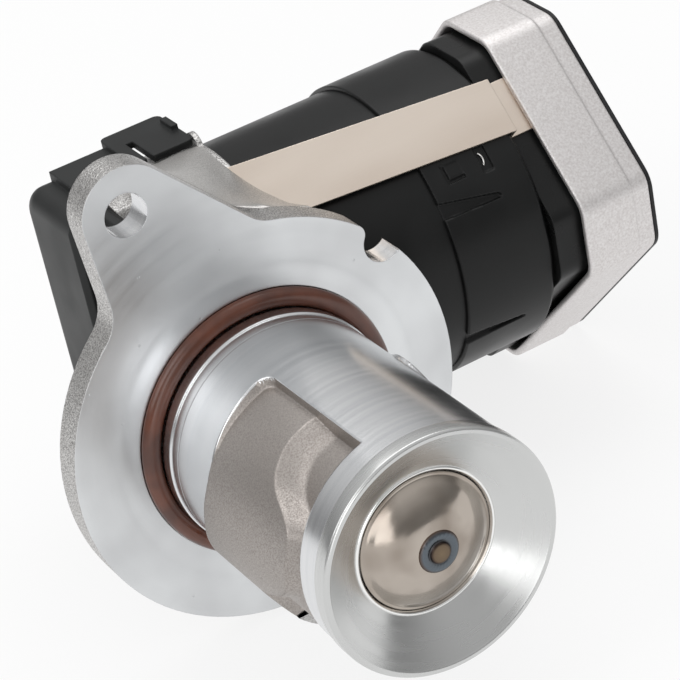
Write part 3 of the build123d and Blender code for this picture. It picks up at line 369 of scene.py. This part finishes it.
# The CAD's faces are split along the neck's two sides, and those that other pieces stand for are left out.
shape = merged_copy("valve_body")
for angle in (NECK_START, NECK_END):
    turn = math.radians(angle)
    bmesh.ops.bisect_plane(shape, geom=shape.verts[:] + shape.edges[:] + shape.faces[:], dist=0.0001 * MM,
                           plane_co=(0, 0, 0), plane_no=(-math.sin(turn), 0, math.cos(turn)))
mesh = bpy.data.meshes.new("casting")
shape.to_mesh(mesh)
points = np.empty(len(mesh.vertices) * 3)
point_of_corner = np.empty(len(mesh.loops), dtype=np.int32)
start = np.empty(len(mesh.polygons), dtype=np.int32)
mesh.vertices.foreach_get("co", points)
mesh.loops.foreach_get("vertex_index", point_of_corner)
mesh.polygons.foreach_get("loop_start", start)
gone = replaced_faces(points.reshape(-1, 3)[point_of_corner] / MM, start)
bmesh.ops.delete(shape, geom=[face for face, flag in zip(shape.faces, gone) if flag], context="FACES")
shape.to_mesh(mesh)
shape.free()
count = len(mesh.polygons)
middles = np.empty(count * 3)
normals = np.empty(count * 3)
mesh.polygons.foreach_get("center", middles)
mesh.polygons.foreach_get("normal", normals)
middles = middles.reshape(-1, 3) / MM
normals = normals.reshape(-1, 3)
out = np.hypot(middles[:, 0], middles[:, 2])
angle = np.degrees(np.arctan2(middles[:, 2], middles[:, 0])) % 360
HOLE = (-18.6, 55.4)
HOLE_REACH = 4.6
NOTCH = polar(42.4, 39.3)
NOTCH_REACH = 4.65
RECESS_ANGLES = (106, 322)
RECESS_YS = (-55.5, -20.7)
RECESS_LEAST_R = 17
faced = (np.abs(middles[:, 1]) < 0.02) & (normals[:, 1] < -0.99)
recessed = (angle > RECESS_ANGLES[0]) & (angle < RECESS_ANGLES[1]) & (out > RECESS_LEAST_R)
recessed &= (middles[:, 1] > RECESS_YS[0]) & (middles[:, 1] < RECESS_YS[1])
turned = (middles[:, 1] < -0.02) & ~recessed
turned |= np.hypot(middles[:, 0] - HOLE[0], middles[:, 2] - HOLE[1]) < HOLE_REACH
in_notch = np.hypot(middles[:, 0] - NOTCH[0], middles[:, 2] - NOTCH[1]) < NOTCH_REACH
turned |= in_notch & (middles[:, 1] < FLANGE_BACK - 0.01)
mesh.polygons.foreach_set("material_index", np.where(faced, 2, np.where(turned, 1, 0)).astype(np.int32))
mesh.shade_smooth()
mesh.set_sharp_from_angle(angle=math.radians(28))
sides = np.empty(count, dtype=np.int32)
edge_of_corner = np.empty(len(mesh.loops), dtype=np.int32)
sharp = np.empty(len(mesh.edges), dtype=bool)
mesh.polygons.foreach_get("loop_total", sides)
mesh.loops.foreach_get("edge_index", edge_of_corner)
mesh.edges.foreach_get("use_edge_sharp", sharp)
# The borders of the faced side and of the flange's rim stay sharp, so that neither shades the other.
rim = (out > FLANGE_R - 0.3) & (np.abs(normals[:, 1]) < 0.05)
rim &= (middles[:, 1] > 0) & (middles[:, 1] < FLANGE_BACK)
for group in (faced, rim):
    beside = np.bincount(edge_of_corner[np.repeat(group, sides)], minlength=len(mesh.edges))
    sharp |= beside == 1
mesh.edges.foreach_set("use_edge_sharp", sharp)
for paint in (cast_skin, turned_skin, faced_skin):
    mesh.materials.append(paint)
casting = bpy.data.objects.new("casting", mesh)
scene.collection.objects.link(casting)
casting.modifiers.new("large_faces_lead", "WEIGHTED_NORMAL").keep_sharp = True
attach(casting, "root")
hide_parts("valve_body")

# The collar and the neck in front of it are turned, except where the cast core shows through a cut-away.
# The core was cast with the body, and its grain, shoulder and scoop were never machined.
RECESS_TOP = 106.0
RECESS_END = -55.6
CORNER_R = 3.5
REAR_EDGE = ((100, -20.8), (150, -20.8), (166, -20.3), (185, -18.2), (209, -13.5), (216, -9.5), (222, -5.0))
SHOULDER = ((100, -38.0), (126, -38.0), (136, -39.6), (143, -41.0), (149, -45.0), (155, -51.0), (185, -51.0),
            (196, -44.0), (203, -36.0), (209, -31.0), (215, -33.0), (222, -39.0))
FALL = ((100, 6.5), (126, 6.5), (143, 6.0), (155, 5.0), (185, 5.0), (209, 7.0), (222, 6.0))
WAIST = ((100, 20.0), (149, 20.0), (155, 21.0), (185, 23.0), (196, 24.0), (209, 24.1), (215, 22.5),
         (222, 20.0))
CORE_R = 23.8
CORE_SHIFT = 2.8
CORE_ANGLE = math.radians(225)
LENS_R = 9.5
LENS_REACH = 23.9
LENS_Y = -24.5
NECK_COLUMNS = 330
LINE_Y = -7.9
LINE_DEPTH = 0.045
LINE_WIDTH = 0.09
COLLAR_STEP = 0.35
LENS_RISE = 0.6
WALL_WIDTH = 0.5
HEM = 0.88


def eased(value):
    """Nothing up to 0, all from 1 on, and a smooth rise between them."""
    value = np.clip(value, 0, 1)
    return value * value * (3 - 2 * value)


def rounded_least(a, b, radius):
    """The lesser of two distances to an edge, with the corner where they meet rounded by a radius."""
    corner = (a < radius) & (b < radius)
    near = radius - np.hypot(radius - a, radius - b)
    return np.where(corner, near, np.minimum(a, b))


def read_off(table, at):
    """A value read off a table of (angle, value) by lines between its rows, averaged over 10 degrees."""
    angles, values = zip(*table)
    return np.mean([np.interp(at + step, angles, values) for step in range(-5, 6)], axis=0)


def neck_surface():
    """Radius over angle and y: the turned sleeve, a low lens, and in the recess the cast core's own radius.

    The core is a cylinder shifted to one side. Past its shoulder it falls off to the waist. Each side ends
    in a hem that turns inwards, under the casting that it meets."""
    runs = ((GROOVE_Y, COLLAR_Y, 9), (-5.08, -5.4, 5), (-5.6, -7.5, 8), (-7.6, -8.2, 13), (-8.4, RING_Y, 196))
    rows = np.concatenate([[GROOVE_Y]] + [np.linspace(*run) for run in runs])
    degrees, along = np.meshgrid(np.linspace(NECK_START, NECK_END, NECK_COLUMNS), rows)
    turn = np.radians(degrees)
    radius = COLLAR_R + (NECK_R - COLLAR_R) * eased((COLLAR_Y - along) / COLLAR_STEP)
    radius[0] = GROOVE_R
    radius = radius - LINE_DEPTH * np.exp(-((along - LINE_Y) / LINE_WIDTH)**2)
    aside = turn - math.radians(NECK_START)
    lens = LENS_REACH / np.cos(np.clip(aside, 0, 0.8))
    inside_lens = LENS_R - np.hypot(LENS_REACH * np.tan(np.clip(aside, 0, 0.8)), along - LENS_Y)
    radius = np.maximum(radius, radius + (lens - radius) * eased(inside_lens / LENS_RISE))
    from_edge = NECK_R * (turn - math.radians(RECESS_TOP))
    inside = rounded_least(from_edge, read_off(REAR_EDGE, degrees) - along, CORNER_R)
    inside = np.minimum(inside, along - RECESS_END)
    core = np.sqrt(CORE_R**2 - (CORE_SHIFT * np.sin(turn - CORE_ANGLE))**2)
    core = CORE_SHIFT * np.cos(turn - CORE_ANGLE) + core
    past = np.clip((read_off(SHOULDER, degrees) - along) / read_off(FALL, degrees), 0, 1)
    fallen = (0.35 * eased(past) + 0.65 * np.sin(past * math.pi / 2)) * eased(past / 0.12)
    core = core + (read_off(WAIST, degrees) - core) * fallen
    radius = radius + (core - radius) * eased(inside / WALL_WIDTH)
    points = np.stack([radius * np.cos(turn), along, radius * np.sin(turn)], axis=-1)
    hem = points[:, [0, -1]] * (HEM, 1, HEM)
    points = np.concatenate([hem[:, :1], points, hem[:, 1:]], axis=1)
    return points, np.pad(inside, ((0, 0), (1, 1)), mode="edge")


def skin(name, points, paints, body="root", stands_for=(), around=False, outward=True):
    """A smooth piece through a grid of points in millimetres, closed round its columns if it goes around.

    Rows that shrink to a point and seams that meet are joined, and edges steeper than 60 degrees stay sharp.
    The map runs along rows and columns."""
    rows, columns = points.shape[:2]
    index = np.arange(rows * columns).reshape(rows, columns)
    if around:
        index = np.hstack([index, index[:, :1]])
    quads = np.stack([index[:-1, :-1], index[1:, :-1], index[1:, 1:], index[:-1, 1:]], axis=-1).reshape(-1, 4)
    down, across = np.meshgrid(np.arange(index.shape[0] - 1), np.arange(index.shape[1] - 1), indexing="ij")
    corners = np.stack([np.stack([across, down], -1), np.stack([across, down + 1], -1),
                        np.stack([across + 1, down + 1], -1), np.stack([across + 1, down], -1)], axis=2)
    corners = corners.reshape(-1, 4, 2) / (index.shape[1] - 1, index.shape[0] - 1)
    if not outward:
        quads, corners = quads[:, ::-1], corners[:, ::-1]
    mesh = bpy.data.meshes.new(name)
    mesh.from_pydata((points.reshape(-1, 3) * MM).tolist(), [], quads.tolist())
    layer = mesh.uv_layers.new(name="along_and_around")
    layer.data.foreach_set("uv", corners.reshape(-1).astype(np.float32))
    shape = bmesh.new()
    shape.from_mesh(mesh)
    bmesh.ops.remove_doubles(shape, verts=shape.verts, dist=0.0005 * MM)
    shape.to_mesh(mesh)
    shape.free()
    mesh.shade_smooth()
    mesh.set_sharp_from_angle(angle=math.radians(60))
    for paint in paints:
        mesh.materials.append(paint)
    piece = bpy.data.objects.new(name, mesh)
    scene.collection.objects.link(piece)
    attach(piece, body)
    if stands_for:
        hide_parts(*stands_for)
    return piece


def closed(rows):
    """A grid with a row added before and after it, where its first and last rings shrink to their middles."""
    tips = rows[[0, -1]].mean(axis=1, keepdims=True) + 0 * rows[[0, -1]]
    return np.concatenate([tips[:1], rows, tips[1:]])


def face_values(values):
    """The mean of a grid's values over each of its faces."""
    return ((values[:-1, :-1] + values[1:, :-1] + values[1:, 1:] + values[:-1, 1:]) / 4).reshape(-1)


core_skin = cast_aluminium("cast_core", (0.34, 0.31, 0.29), (0.45, 0.415, 0.39), 0.50, 0.045)
points, inside = neck_surface()
neck = skin("neck", points, (turned_skin, core_skin), stands_for=("valve_body",))
neck.data.polygons.foreach_set("material_index", (face_values(inside) > 0.12).astype(np.int32))

# The mouth is turned in one setting with the neck: a ring, the sealing rim, a narrow lip and the trumpet.
# The trumpet runs down to the seat, and its cone shows the poppet as a blurred reflection.
MOUTH_PROFILE = ((24.6, -61.5), (24.6, -61.52), (25.0, -61.7), (25.0, -64.9), (24.55, -65.3), (23.9, -65.3),
                 (23.55, -65.05), (MOUTH_SEAT_R, MOUTH_SEAT_Y))
TURNS = 288


def rounded_line(points, radius, steps=5):
    """A line of points with each corner replaced by a short curve that leaves and meets its sides.

    The curve is the quadratic between the two points a radius, or half a side, from the corner."""
    points = np.array(points, dtype=float)
    rounded = [points[:1]]
    t = np.linspace(0, 1, steps)[:, None]
    for before, corner, after in zip(points[:-2], points[1:-1], points[2:]):
        start, end = before - corner, after - corner
        start = corner + start * min(radius / np.linalg.norm(start), 0.45)
        end = corner + end * min(radius / np.linalg.norm(end), 0.45)
        rounded.append((1 - t)**2 * start + 2 * t * (1 - t) * corner + t**2 * end)
    rounded.append(points[-1:])
    return np.concatenate(rounded)


def spun(profile, turns=TURNS):
    """A profile of (radius, y) carried round the valve's axis."""
    turn = np.linspace(0, 2 * math.pi, turns, endpoint=False)
    radius, along = profile[:, :1], profile[:, 1:]
    return np.stack([radius * np.cos(turn), along + 0 * turn, radius * np.sin(turn)], axis=-1)


mouth_skin, tree, shader = finish("mouth_turned", (0.62, 0.625, 0.62), 1.0, 0.22)
fine = mottle(tree, place_mm(tree, (0, 1, 0)), 0.12, 2.0)
wide = mottle(tree, place_mm(tree, (0.05, 1, 0.05)), 1.2, 2.0)
tree.links.new(between(tree, wide, 0.22, 0.29), shader.inputs["Roughness"])
relief(tree, shader, (fine, 0.001), edge=0.15)
skin("mouth", spun(rounded_line(MOUTH_PROFILE, 0.18)), (mouth_skin,),
     stands_for=("valve_body",), around=True)

# The web is part of the same casting: a smooth sweep of cast metal from the flange's edge up to its crest,
# where it ends over the clamp strip and under the cover's tongue.
WEB_COLUMNS = 160
WEB_ROWS = 60
WEB_BLUR = 30
WEB_HOLLOW = 1.3


def smooth_through(points, count, blur):
    """Points spread evenly in number along a line. Averaging eases its corners and keeps its ends."""
    at = np.linspace(0, len(points) - 1, count)
    line = np.stack([np.interp(at, np.arange(len(points)), points[:, k]) for k in range(3)], axis=-1)
    for _ in range(blur):
        line[1:-1] = (line[:-2] + 2 * line[1:-1] + line[2:]) / 4
    return line


def web_surface():
    """Straight lines from edge to crest, hollowed a little in their middle, then back down to the root."""
    edge = smooth_through(web_edge, WEB_COLUMNS, WEB_BLUR)
    crest = smooth_through(web_crest, WEB_COLUMNS, WEB_BLUR)
    t = np.linspace(0, 1, WEB_ROWS)[:, None, None]
    face = edge + (crest - edge) * t
    hollow = WEB_HOLLOW * np.sin(math.pi * t)**1.5
    face = face - hollow * np.array((0.0, -0.35, 0.94))
    over = crest + (web_root - crest) * np.array([0.006, 0.02, 0.3, 1.0])[:, None, None]
    return np.concatenate([face, over])


web_skin = cast_aluminium("cast_web", (0.47, 0.455, 0.44), (0.66, 0.645, 0.625), 0.46, 0.05)
web = skin("web", web_surface(), (web_skin,), stands_for=("valve_body",), outward=False)
shape = bmesh.new()
shape.from_mesh(web.data)
bmesh.ops.holes_fill(shape, edges=[edge for edge in shape.edges if edge.is_boundary])
bmesh.ops.recalc_face_normals(shape, faces=shape.faces)
shape.to_mesh(web.data)
shape.free()
web.data.set_sharp_from_angle(angle=math.radians(50))

# The seat ring is steel, turned and pressed into the casting at the bottom of the trumpet.
# Its polished lip stands out as a bright line round the poppet.
LIP_PROFILE = ((15.1, -58.7), (15.1, -59.4), (14.75, -59.62), (14.5, -59.55), (14.1, -58.95), (14.1, -58.7),
               (15.1, -58.7))
lip_polish, tree, shader = finish("seat_lip_steel", (0.88, 0.88, 0.87), 1.0, 0.12)
relief(tree, shader, (mottle(tree, place_mm(tree, (0.05, 1, 0.05)), 0.1, 2.0), 0.002), edge=0.1)
skin("seat_lip", spun(rounded_line(LIP_PROFILE, 0.1, 4)), (lip_polish,), around=True)

# The O-ring is brown fluoro rubber, moulded between two halves that leave a fine line of flash.
# It lies in the corner between flange and collar.
RING_R = 26.6
RING_WIDE = 1.98
RING_CORD = 1.78
RING_Y_AT = -0.4

turn = np.linspace(0, 2 * math.pi, 320, endpoint=False)
round_it = np.linspace(0, 2 * math.pi, 33)[:, None]
flash = 0.05 * np.exp(-(np.sin(round_it) / 0.06)**2)
out = RING_R + (RING_WIDE + flash) * np.cos(round_it) + 0 * turn
along = RING_Y_AT - (RING_CORD + flash) * np.sin(round_it) + 0 * turn
points = np.stack([out * np.cos(turn), along, out * np.sin(turn)], axis=-1)
rubber, tree, shader = finish("brown_rubber", (0.11, 0.032, 0.015), 0.0, 0.3, Coat_Weight=0.3,
                              Coat_Roughness=0.2)
spot = place_mm(tree)
tint(tree, shader, mottle(tree, spot, 6.0), (0.075, 0.022, 0.011), (0.13, 0.038, 0.018))
relief(tree, shader, (mottle(tree, spot, 0.4), 0.02), edge=0.05)
skin("o_ring", points, (rubber,), stands_for=("flange_o_ring",), around=True)

# The poppet is a turned stainless dome, polished and then warmed by the weld that joins it to the stem.
# The weld is a ring of small ripples round the stem's end, blued outside and brown in the middle.
DOME_PROFILE = ((3.4, -64.0), (6.5, -63.3), (9.4, -62.05), (11.6, -60.7), (12.9, -59.62), (13.3, -59.35),
                (13.55, -59.3), (13.9, -59.2), (13.9, -58.65), (12.6, -57.35), (4.0, -57.35))
WELD_PROFILE = ((4.35, -63.75), (4.1, -64.15), (3.4, -64.45), (2.7, -64.38), (2.3, -64.2), (2.15, -64.45),
                (2.05, -64.72), (1.6, -64.84), (0.9, -64.9), (0.0, -64.92))
WELD_RIPPLES = 26
RIPPLE_HEIGHT = 0.018
WELD_COLORS = ((0.0, (0.20, 0.15, 0.10)), (0.36, (0.16, 0.12, 0.085)), (0.47, (0.05, 0.035, 0.03)),
               (0.58, (0.12, 0.135, 0.15)), (0.84, (0.13, 0.15, 0.17)), (1.0, (0.10, 0.055, 0.03)))

dome, tree, shader = finish("domed_steel", (0.44, 0.39, 0.34), 1.0, 0.17)
spot = place_mm(tree)
smudge = mottle(tree, spot, 9.0, 2.0)
tint(tree, shader, smudge, (0.32, 0.275, 0.235), (0.47, 0.42, 0.37))
tree.links.new(between(tree, smudge, 0.24, 0.13), shader.inputs["Roughness"])
lathe = mottle(tree, place_mm(tree, (0.03, 1, 0.03)), 0.1, 2.0)
relief(tree, shader, (lathe, 0.004), (mottle(tree, spot, 2.0), 0.01), edge=0.1)
skin("poppet_dome", spun(rounded_line(DOME_PROFILE, 1.2, 9)), (dome,), "valve",
     ("poppet_head",), around=True)
bead = spun(rounded_line(WELD_PROFILE, 0.35, 6), 208)
turn = np.arctan2(bead[..., 2], bead[..., 0])
out = np.hypot(bead[..., 0], bead[..., 2])
ripple = RIPPLE_HEIGHT * np.sin(WELD_RIPPLES * turn + 3.0 * out) * np.exp(-((out - 3.2) / 0.9)**2)
bead[..., 1] -= ripple
blued, tree, shader = finish("weld_bead", (0.25, 0.27, 0.31), 1.0, 0.3)
spot = place_mm(tree, (1, 0, 1))
out = add(tree, "ShaderNodeVectorMath", ("operation", "LENGTH"), i0=spot).outputs["Value"]
ring = add(tree, "ShaderNodeValToRGB", Fac=between(tree, out, 0.0, 1.0, 0.0, 4.4))
for stop, color in WELD_COLORS[1:-1]:
    ring.color_ramp.elements.new(stop)
for element, (stop, color) in zip(ring.color_ramp.elements, WELD_COLORS):
    element.position = stop
    element.color = (*color, 1)
tree.links.new(ring.outputs[0], shader.inputs["Base Color"])
relief(tree, shader, (mottle(tree, place_mm(tree), 0.25, 2.0), 0.03), edge=0.05)
skin("weld", bead, (blued,), "valve", ("poppet_head",), around=True)

# The motor cap is a thin moulded shell that snaps over the housing. Tapered slots free two tongues at its
# open end, a square window shows the latch, and an oblong recess beside it takes the strip's clip.
CAP_R = 33.9
CAP_X = (54.0, 76.5)
CAP_EDGE = 0.5
CAP_CLOSED_EDGE = 0.9
CAP_ROWS = 113
CAP_COLUMNS = 900
CAP_SLOTS = ((152.0, 155.0, 3.9, 1.3, 68.3), (206.0, 207.6, 3.0, 0.9, 68.8))
SLOT_DEPTH = 0.85
WINDOW = (58.0, 62.6, 137.0, 144.4)
WINDOW_DEPTH = 0.75
LATCH = (58.9, 62.6, 137.0, 143.0)
LATCH_HEIGHT = 0.55
CLIP_RECESS = (66.6, 69.3, 136.0, 145.8)
CLIP_RECESS_DEPTH = 0.7
MM_PER_DEGREE = 0.59
SLOPE = 0.25


def about_motor(radius, x, turn):
    """Points about the motor's axis. Radius, x and turn are numbers, rows or grids."""
    return np.stack([x + 0 * turn, MOTOR_Y + radius * np.cos(turn), MOTOR_Z + radius * np.sin(turn)], axis=-1)


def inside_by(x, degrees, oblong):
    """How far a point lies inside an oblong, which starts and ends along x and then in degrees."""
    start, end, turn_start, turn_end = oblong
    round_it = np.minimum(degrees - turn_start, turn_end - degrees) * MM_PER_DEGREE
    return np.minimum(np.minimum(x - start, end - x), round_it)


def cap_surface():
    """Radius over x and angle: a shell whose edges are rounded, sunk where a slot, window or recess is cut.

    Each cut's depth rises smoothly over a quarter of a millimetre from its outline."""
    degrees = np.linspace(0, 360, CAP_COLUMNS, endpoint=False)
    x, degrees = np.meshgrid(np.linspace(*CAP_X, CAP_ROWS), degrees, indexing="ij")
    depth = np.zeros_like(x)
    for start, end, wide, narrow, tip in CAP_SLOTS:
        t = np.clip((x - CAP_X[0]) / (tip - CAP_X[0]), 0, 1)
        aside = np.abs((degrees - (start + (end - start) * t) + 180) % 360 - 180) * math.radians(1) * CAP_R
        half = (wide + (narrow - wide) * t) / 2
        past = np.maximum(x - (tip - narrow / 2), 0)
        depth = np.maximum(depth, SLOT_DEPTH * eased((half - np.hypot(aside, past)) / SLOPE))
    depth = np.maximum(depth, WINDOW_DEPTH * eased(inside_by(x, degrees, WINDOW) / SLOPE))
    depth = depth - LATCH_HEIGHT * eased(inside_by(x, degrees, LATCH) / 0.2)
    depth = np.maximum(depth, CLIP_RECESS_DEPTH * eased(inside_by(x, degrees, CLIP_RECESS) / SLOPE))
    open_end = CAP_EDGE * (1 - eased((x - CAP_X[0] + 0.25) / 0.5))
    closed_end = CAP_CLOSED_EDGE * (1 - eased((CAP_X[1] + 0.1 - x) / 1.3))
    depth += open_end + closed_end
    turn = np.radians(degrees)
    shell = about_motor(CAP_R - depth, x, turn)
    mouth_edge = about_motor(33.05, CAP_X[0], turn[:1])
    floor_profile = ((32.9, CAP_X[1]), (8.6, CAP_X[1]), (8.6, CAP_X[1] - 2.0))
    floor_rows = [about_motor(radius, x, turn[:1]) for radius, x in floor_profile]
    return np.concatenate([mouth_edge, shell, *floor_rows])


def moulded(name, color, rough, grain=0.35, depth=0.012, edge=0.35):
    """Moulded or pressed material with a fine eroded grain and a soft satin sheen."""
    paint, tree, shader = finish(name, color, 0.0, rough, Specular_IOR_Level=0.25)
    spot = place_mm(tree)
    patches = mottle(tree, spot, 14.0, 2.0)
    tint(tree, shader, patches, tuple(0.8 * c for c in color), tuple(1.25 * c for c in color))
    tree.links.new(between(tree, patches, rough - 0.05, rough + 0.06), shader.inputs["Roughness"])
    relief(tree, shader, (mottle(tree, spot, grain, 2.0), depth), edge=edge)
    return paint


shell_black = moulded("housing_black", (0.0075, 0.0078, 0.0078), 0.36)
skin("motor_cap_shell", cap_surface(), (shell_black,), stands_for=("motor_cap",),
     around=True)

# The bright wire end in the oblong recess is a spring steel clip that keeps the strip from creeping.
# It is bent to a short bow that lies just below the cap's surface.
CLIP_X = 67.0
CLIP_TURN = math.radians(140.6)
CLIP_BOW = 0.9
CLIP_HALF = 1.5
CLIP_SUNK = 0.35
CLIP_WIRE_R = 0.2

bow = np.radians(np.linspace(-70, 70, 24))[:, None]
ring = np.linspace(0, 2 * math.pi, 12, endpoint=False)[None, :]
reach = CAP_R - CLIP_SUNK + CLIP_WIRE_R * np.sin(ring)
across = CLIP_WIRE_R * np.cos(ring)
turn = CLIP_TURN + CLIP_HALF / CAP_R * np.sin(bow) + across / CAP_R * np.sin(bow)
points = about_motor(reach, CLIP_X + CLIP_BOW * np.cos(bow) + across * np.cos(bow), turn)
bright = finish("bright_wire", (0.80, 0.79, 0.77), 1.0, 0.2)[0]
skin("strip_clip_wire", closed(points), (bright,), stands_for=("motor_cap",), around=True)

# The end cap is a bead-blasted die casting with bevelled corners, stepped in a little near its back.
# A thin black plate and four screws close it there.
CAP_HALF = 32.4
CAP_REACH = 46.0
CAP_BEVEL = 11.5
CAP_BEND_R = 6.0
END_CAP_PROFILE = ((1.6, 97.5), (1.6, 82.5), (0.0, 82.5), (0.0, 95.35), (0.7, 95.5), (0.7, 99.9), (6.0, 99.9))


def bevelled_outline(inset, radius):
    """The end cap's outline: eight straight sides joined by arcs. An inset moves every side in."""
    near, far = (2 * CAP_HALF - CAP_BEVEL) / math.sqrt(2), (CAP_HALF + CAP_REACH - CAP_BEVEL) / math.sqrt(2)
    reach = np.array([CAP_HALF, near, CAP_HALF, far, CAP_REACH, far, CAP_HALF, near]) - inset - radius
    normal = np.radians(45 * np.arange(8))
    following, next_reach = np.roll(normal, -1), np.roll(reach, -1)
    turn = np.sin(following - normal)
    middle_u = (reach * np.sin(following) - next_reach * np.sin(normal)) / turn
    middle_w = (next_reach * np.cos(normal) - reach * np.cos(following)) / turn
    sweep = normal[:, None] + np.radians(np.linspace(0, 45, 9))
    u = (middle_u[:, None] + radius * np.cos(sweep)).reshape(-1)
    w = (middle_w[:, None] + radius * np.sin(sweep)).reshape(-1)
    cosine, sine = math.cos(math.radians(TILT)), math.sin(math.radians(TILT))
    return MOTOR_Y + u * cosine - w * sine, MOTOR_Z + u * sine + w * cosine


def swept_round(profile, radius=CAP_BEND_R):
    """A profile of (inset, x) carried round the end cap's outline and closed at both ends by a flat face."""
    rows = []
    for inset, x in profile:
        y, z = bevelled_outline(inset, max(radius - inset, 1.5))
        rows.append(np.stack([x + 0 * y, y, z], axis=-1))
    return closed(np.array(rows))


blasted, tree, shader = finish("blasted_casting", (0.72, 0.70, 0.69), 1.0, 0.56)
spot = place_mm(tree)
beads = mottle(tree, spot, 0.28, 2.0)
sparkle = mottle(tree, spot, 0.5, 3.0)
tint(tree, shader, sparkle, (0.68, 0.65, 0.64), (0.84, 0.82, 0.815), 0.3, 0.7)
tree.links.new(between(tree, beads, 0.62, 0.5), shader.inputs["Roughness"])
relief(tree, shader, (beads, 0.022), (sparkle, 0.02), edge=0.3)
skin("end_cap_shell", swept_round(rounded_line(END_CAP_PROFILE, 0.7, 6)), (blasted,),
     stands_for=("end_cap",), around=True, outward=False)

# The clamp strip is a band of nickel-plated spring steel, satin rolled along its length. It hooks into the
# casting at one end and is folded down at the end cap.
nickel, tree, shader = finish("nickel_strip", (0.66, 0.57, 0.49), 1.0, 0.42)
rolled = mottle(tree, place_mm(tree, (0.05, 1, 1)), 0.25, 2.0)
sheen = mottle(tree, place_mm(tree, (0.3, 1, 1)), 12.0, 1.0)
tint(tree, shader, sheen, (0.76, 0.66, 0.57), (0.84, 0.745, 0.655))
tree.links.new(between(tree, rolled, 0.38, 0.46), shader.inputs["Roughness"])
relief(tree, shader, (rolled, 0.006), edge=0.2)

# What is left are pieces whose CAD shape is right as it is. Each takes the finish of what it is made of:
# moulded plastic outside, and inside plain metal, rubber, bronze, copper, ferrite and circuit board.


def plain_metal(name, color, rough, lines=(1, 1, 1)):
    """Worked metal with faint marks from its tool."""
    paint, tree, shader = finish(name, color, 1.0, rough)
    marks = mottle(tree, place_mm(tree, lines), 0.4, 2.0)
    tint(tree, shader, marks, tuple(0.85 * c for c in color), color)
    tree.links.new(between(tree, marks, rough - 0.06, rough + 0.08), shader.inputs["Roughness"])
    relief(tree, shader, (marks, 0.01), edge=0.15)
    return paint


cover_black = moulded("cover_black", (0.020, 0.021, 0.021), 0.45, 0.3, 0.02, 0.7)
frame_black = moulded("frame_black", (0.009, 0.0093, 0.0093), 0.30, 0.3, 0.01, 0.5)
seat_polish = plain_metal("seat_steel", (0.78, 0.78, 0.78), 0.16, (0.05, 1, 0.05))
ground_steel = plain_metal("ground_steel", (0.60, 0.60, 0.60), 0.25, (1, 0.1, 1))
pressed_steel = plain_metal("pressed_steel", (0.55, 0.55, 0.56), 0.35)
can_steel = plain_metal("can_steel", (0.55, 0.55, 0.54), 0.32, (0.1, 1, 1))
zinc = plain_metal("zinc_screws", (0.62, 0.61, 0.58), 0.3)
bronze = plain_metal("sintered_bronze", (0.62, 0.42, 0.22), 0.45)
copper = plain_metal("enamelled_copper", (0.62, 0.24, 0.10), 0.3, (0.2, 1, 1))
brass = plain_metal("tinned_brass", (0.78, 0.66, 0.38), 0.28)
stack_steel = plain_metal("laminations", (0.32, 0.32, 0.33), 0.45, (3, 0.1, 0.1))
ferrite = moulded("ferrite", (0.06, 0.06, 0.065), 0.5)
carbon = moulded("carbon", (0.03, 0.03, 0.03), 0.55)
rubber_black = moulded("black_rubber", (0.015, 0.015, 0.015), 0.6)
gear_ivory = moulded("gear_plastic", (0.62, 0.57, 0.45), 0.4)
board_green = moulded("circuit_board", (0.03, 0.17, 0.07), 0.3)
chip_black = moulded("chips", (0.02, 0.02, 0.021), 0.4)
plate_black = moulded("back_plate_black", (0.018, 0.018, 0.019), 0.45)
finishes = {
    "seat_ring": seat_polish, "stem_guide_bush": bronze, "stem_seal": rubber_black, "drive_bushes": bronze,
    "idler_pin": ground_steel, "gear_cover": cover_black, "cover_gasket": rubber_black,
    "sensor_board": board_green, "motor_housing": shell_black, "housing_seal": rubber_black,
    "motor_can": can_steel, "motor_magnets": ferrite, "rotor_bearing_front": ground_steel,
    "rotor_bearing_rear": ground_steel, "brush_plate": frame_black, "brushes": carbon,
    "end_frame": frame_black, "circuit_board": board_green, "board_chips": chip_black,
    "connector_pins": brass, "rear_plate": plate_black, "end_cap_screws": zinc, "clamp_strip": nickel,
    "valve_stem": ground_steel, "spring_retainer": pressed_steel, "retainer_clip": pressed_steel,
    "drive_shaft": ground_steel, "output_gear": gear_ivory, "sensor_magnet": ferrite,
    "idler_gear": gear_ivory, "rotor_shaft": ground_steel, "motor_pinion": ground_steel,
    "rotor_core": stack_steel, "rotor_windings": copper, "commutator": brass,
}
for name, paint in finishes.items():
    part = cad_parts[name]
    part.data.materials.clear()
    part.data.materials.append(paint)

# The return spring is drawn steel wire, coiled between the seal and the retainer.
# In the valve it closes up as the valve opens; here it is built as one fixed coil.
SPRING_R = 7.6
WIRE_R = 0.65
SPRING_Y = (-5.0, 10.15)
SPRING_TURNS = 5

turn = np.linspace(0, 2 * math.pi * SPRING_TURNS, 360)[:, None]
wire = np.linspace(0, 2 * math.pi, 14, endpoint=False)[None, :]
out = SPRING_R + WIRE_R * np.cos(wire)
along = SPRING_Y[0] + (SPRING_Y[1] - SPRING_Y[0]) * turn / turn.max() + WIRE_R * np.sin(wire)
points = np.stack([out * np.cos(turn), along, out * np.sin(turn)], axis=-1)
coil = skin("spring_coil", closed(points), (pressed_steel,), stands_for=("return_spring",),
            around=True)
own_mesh(coil)
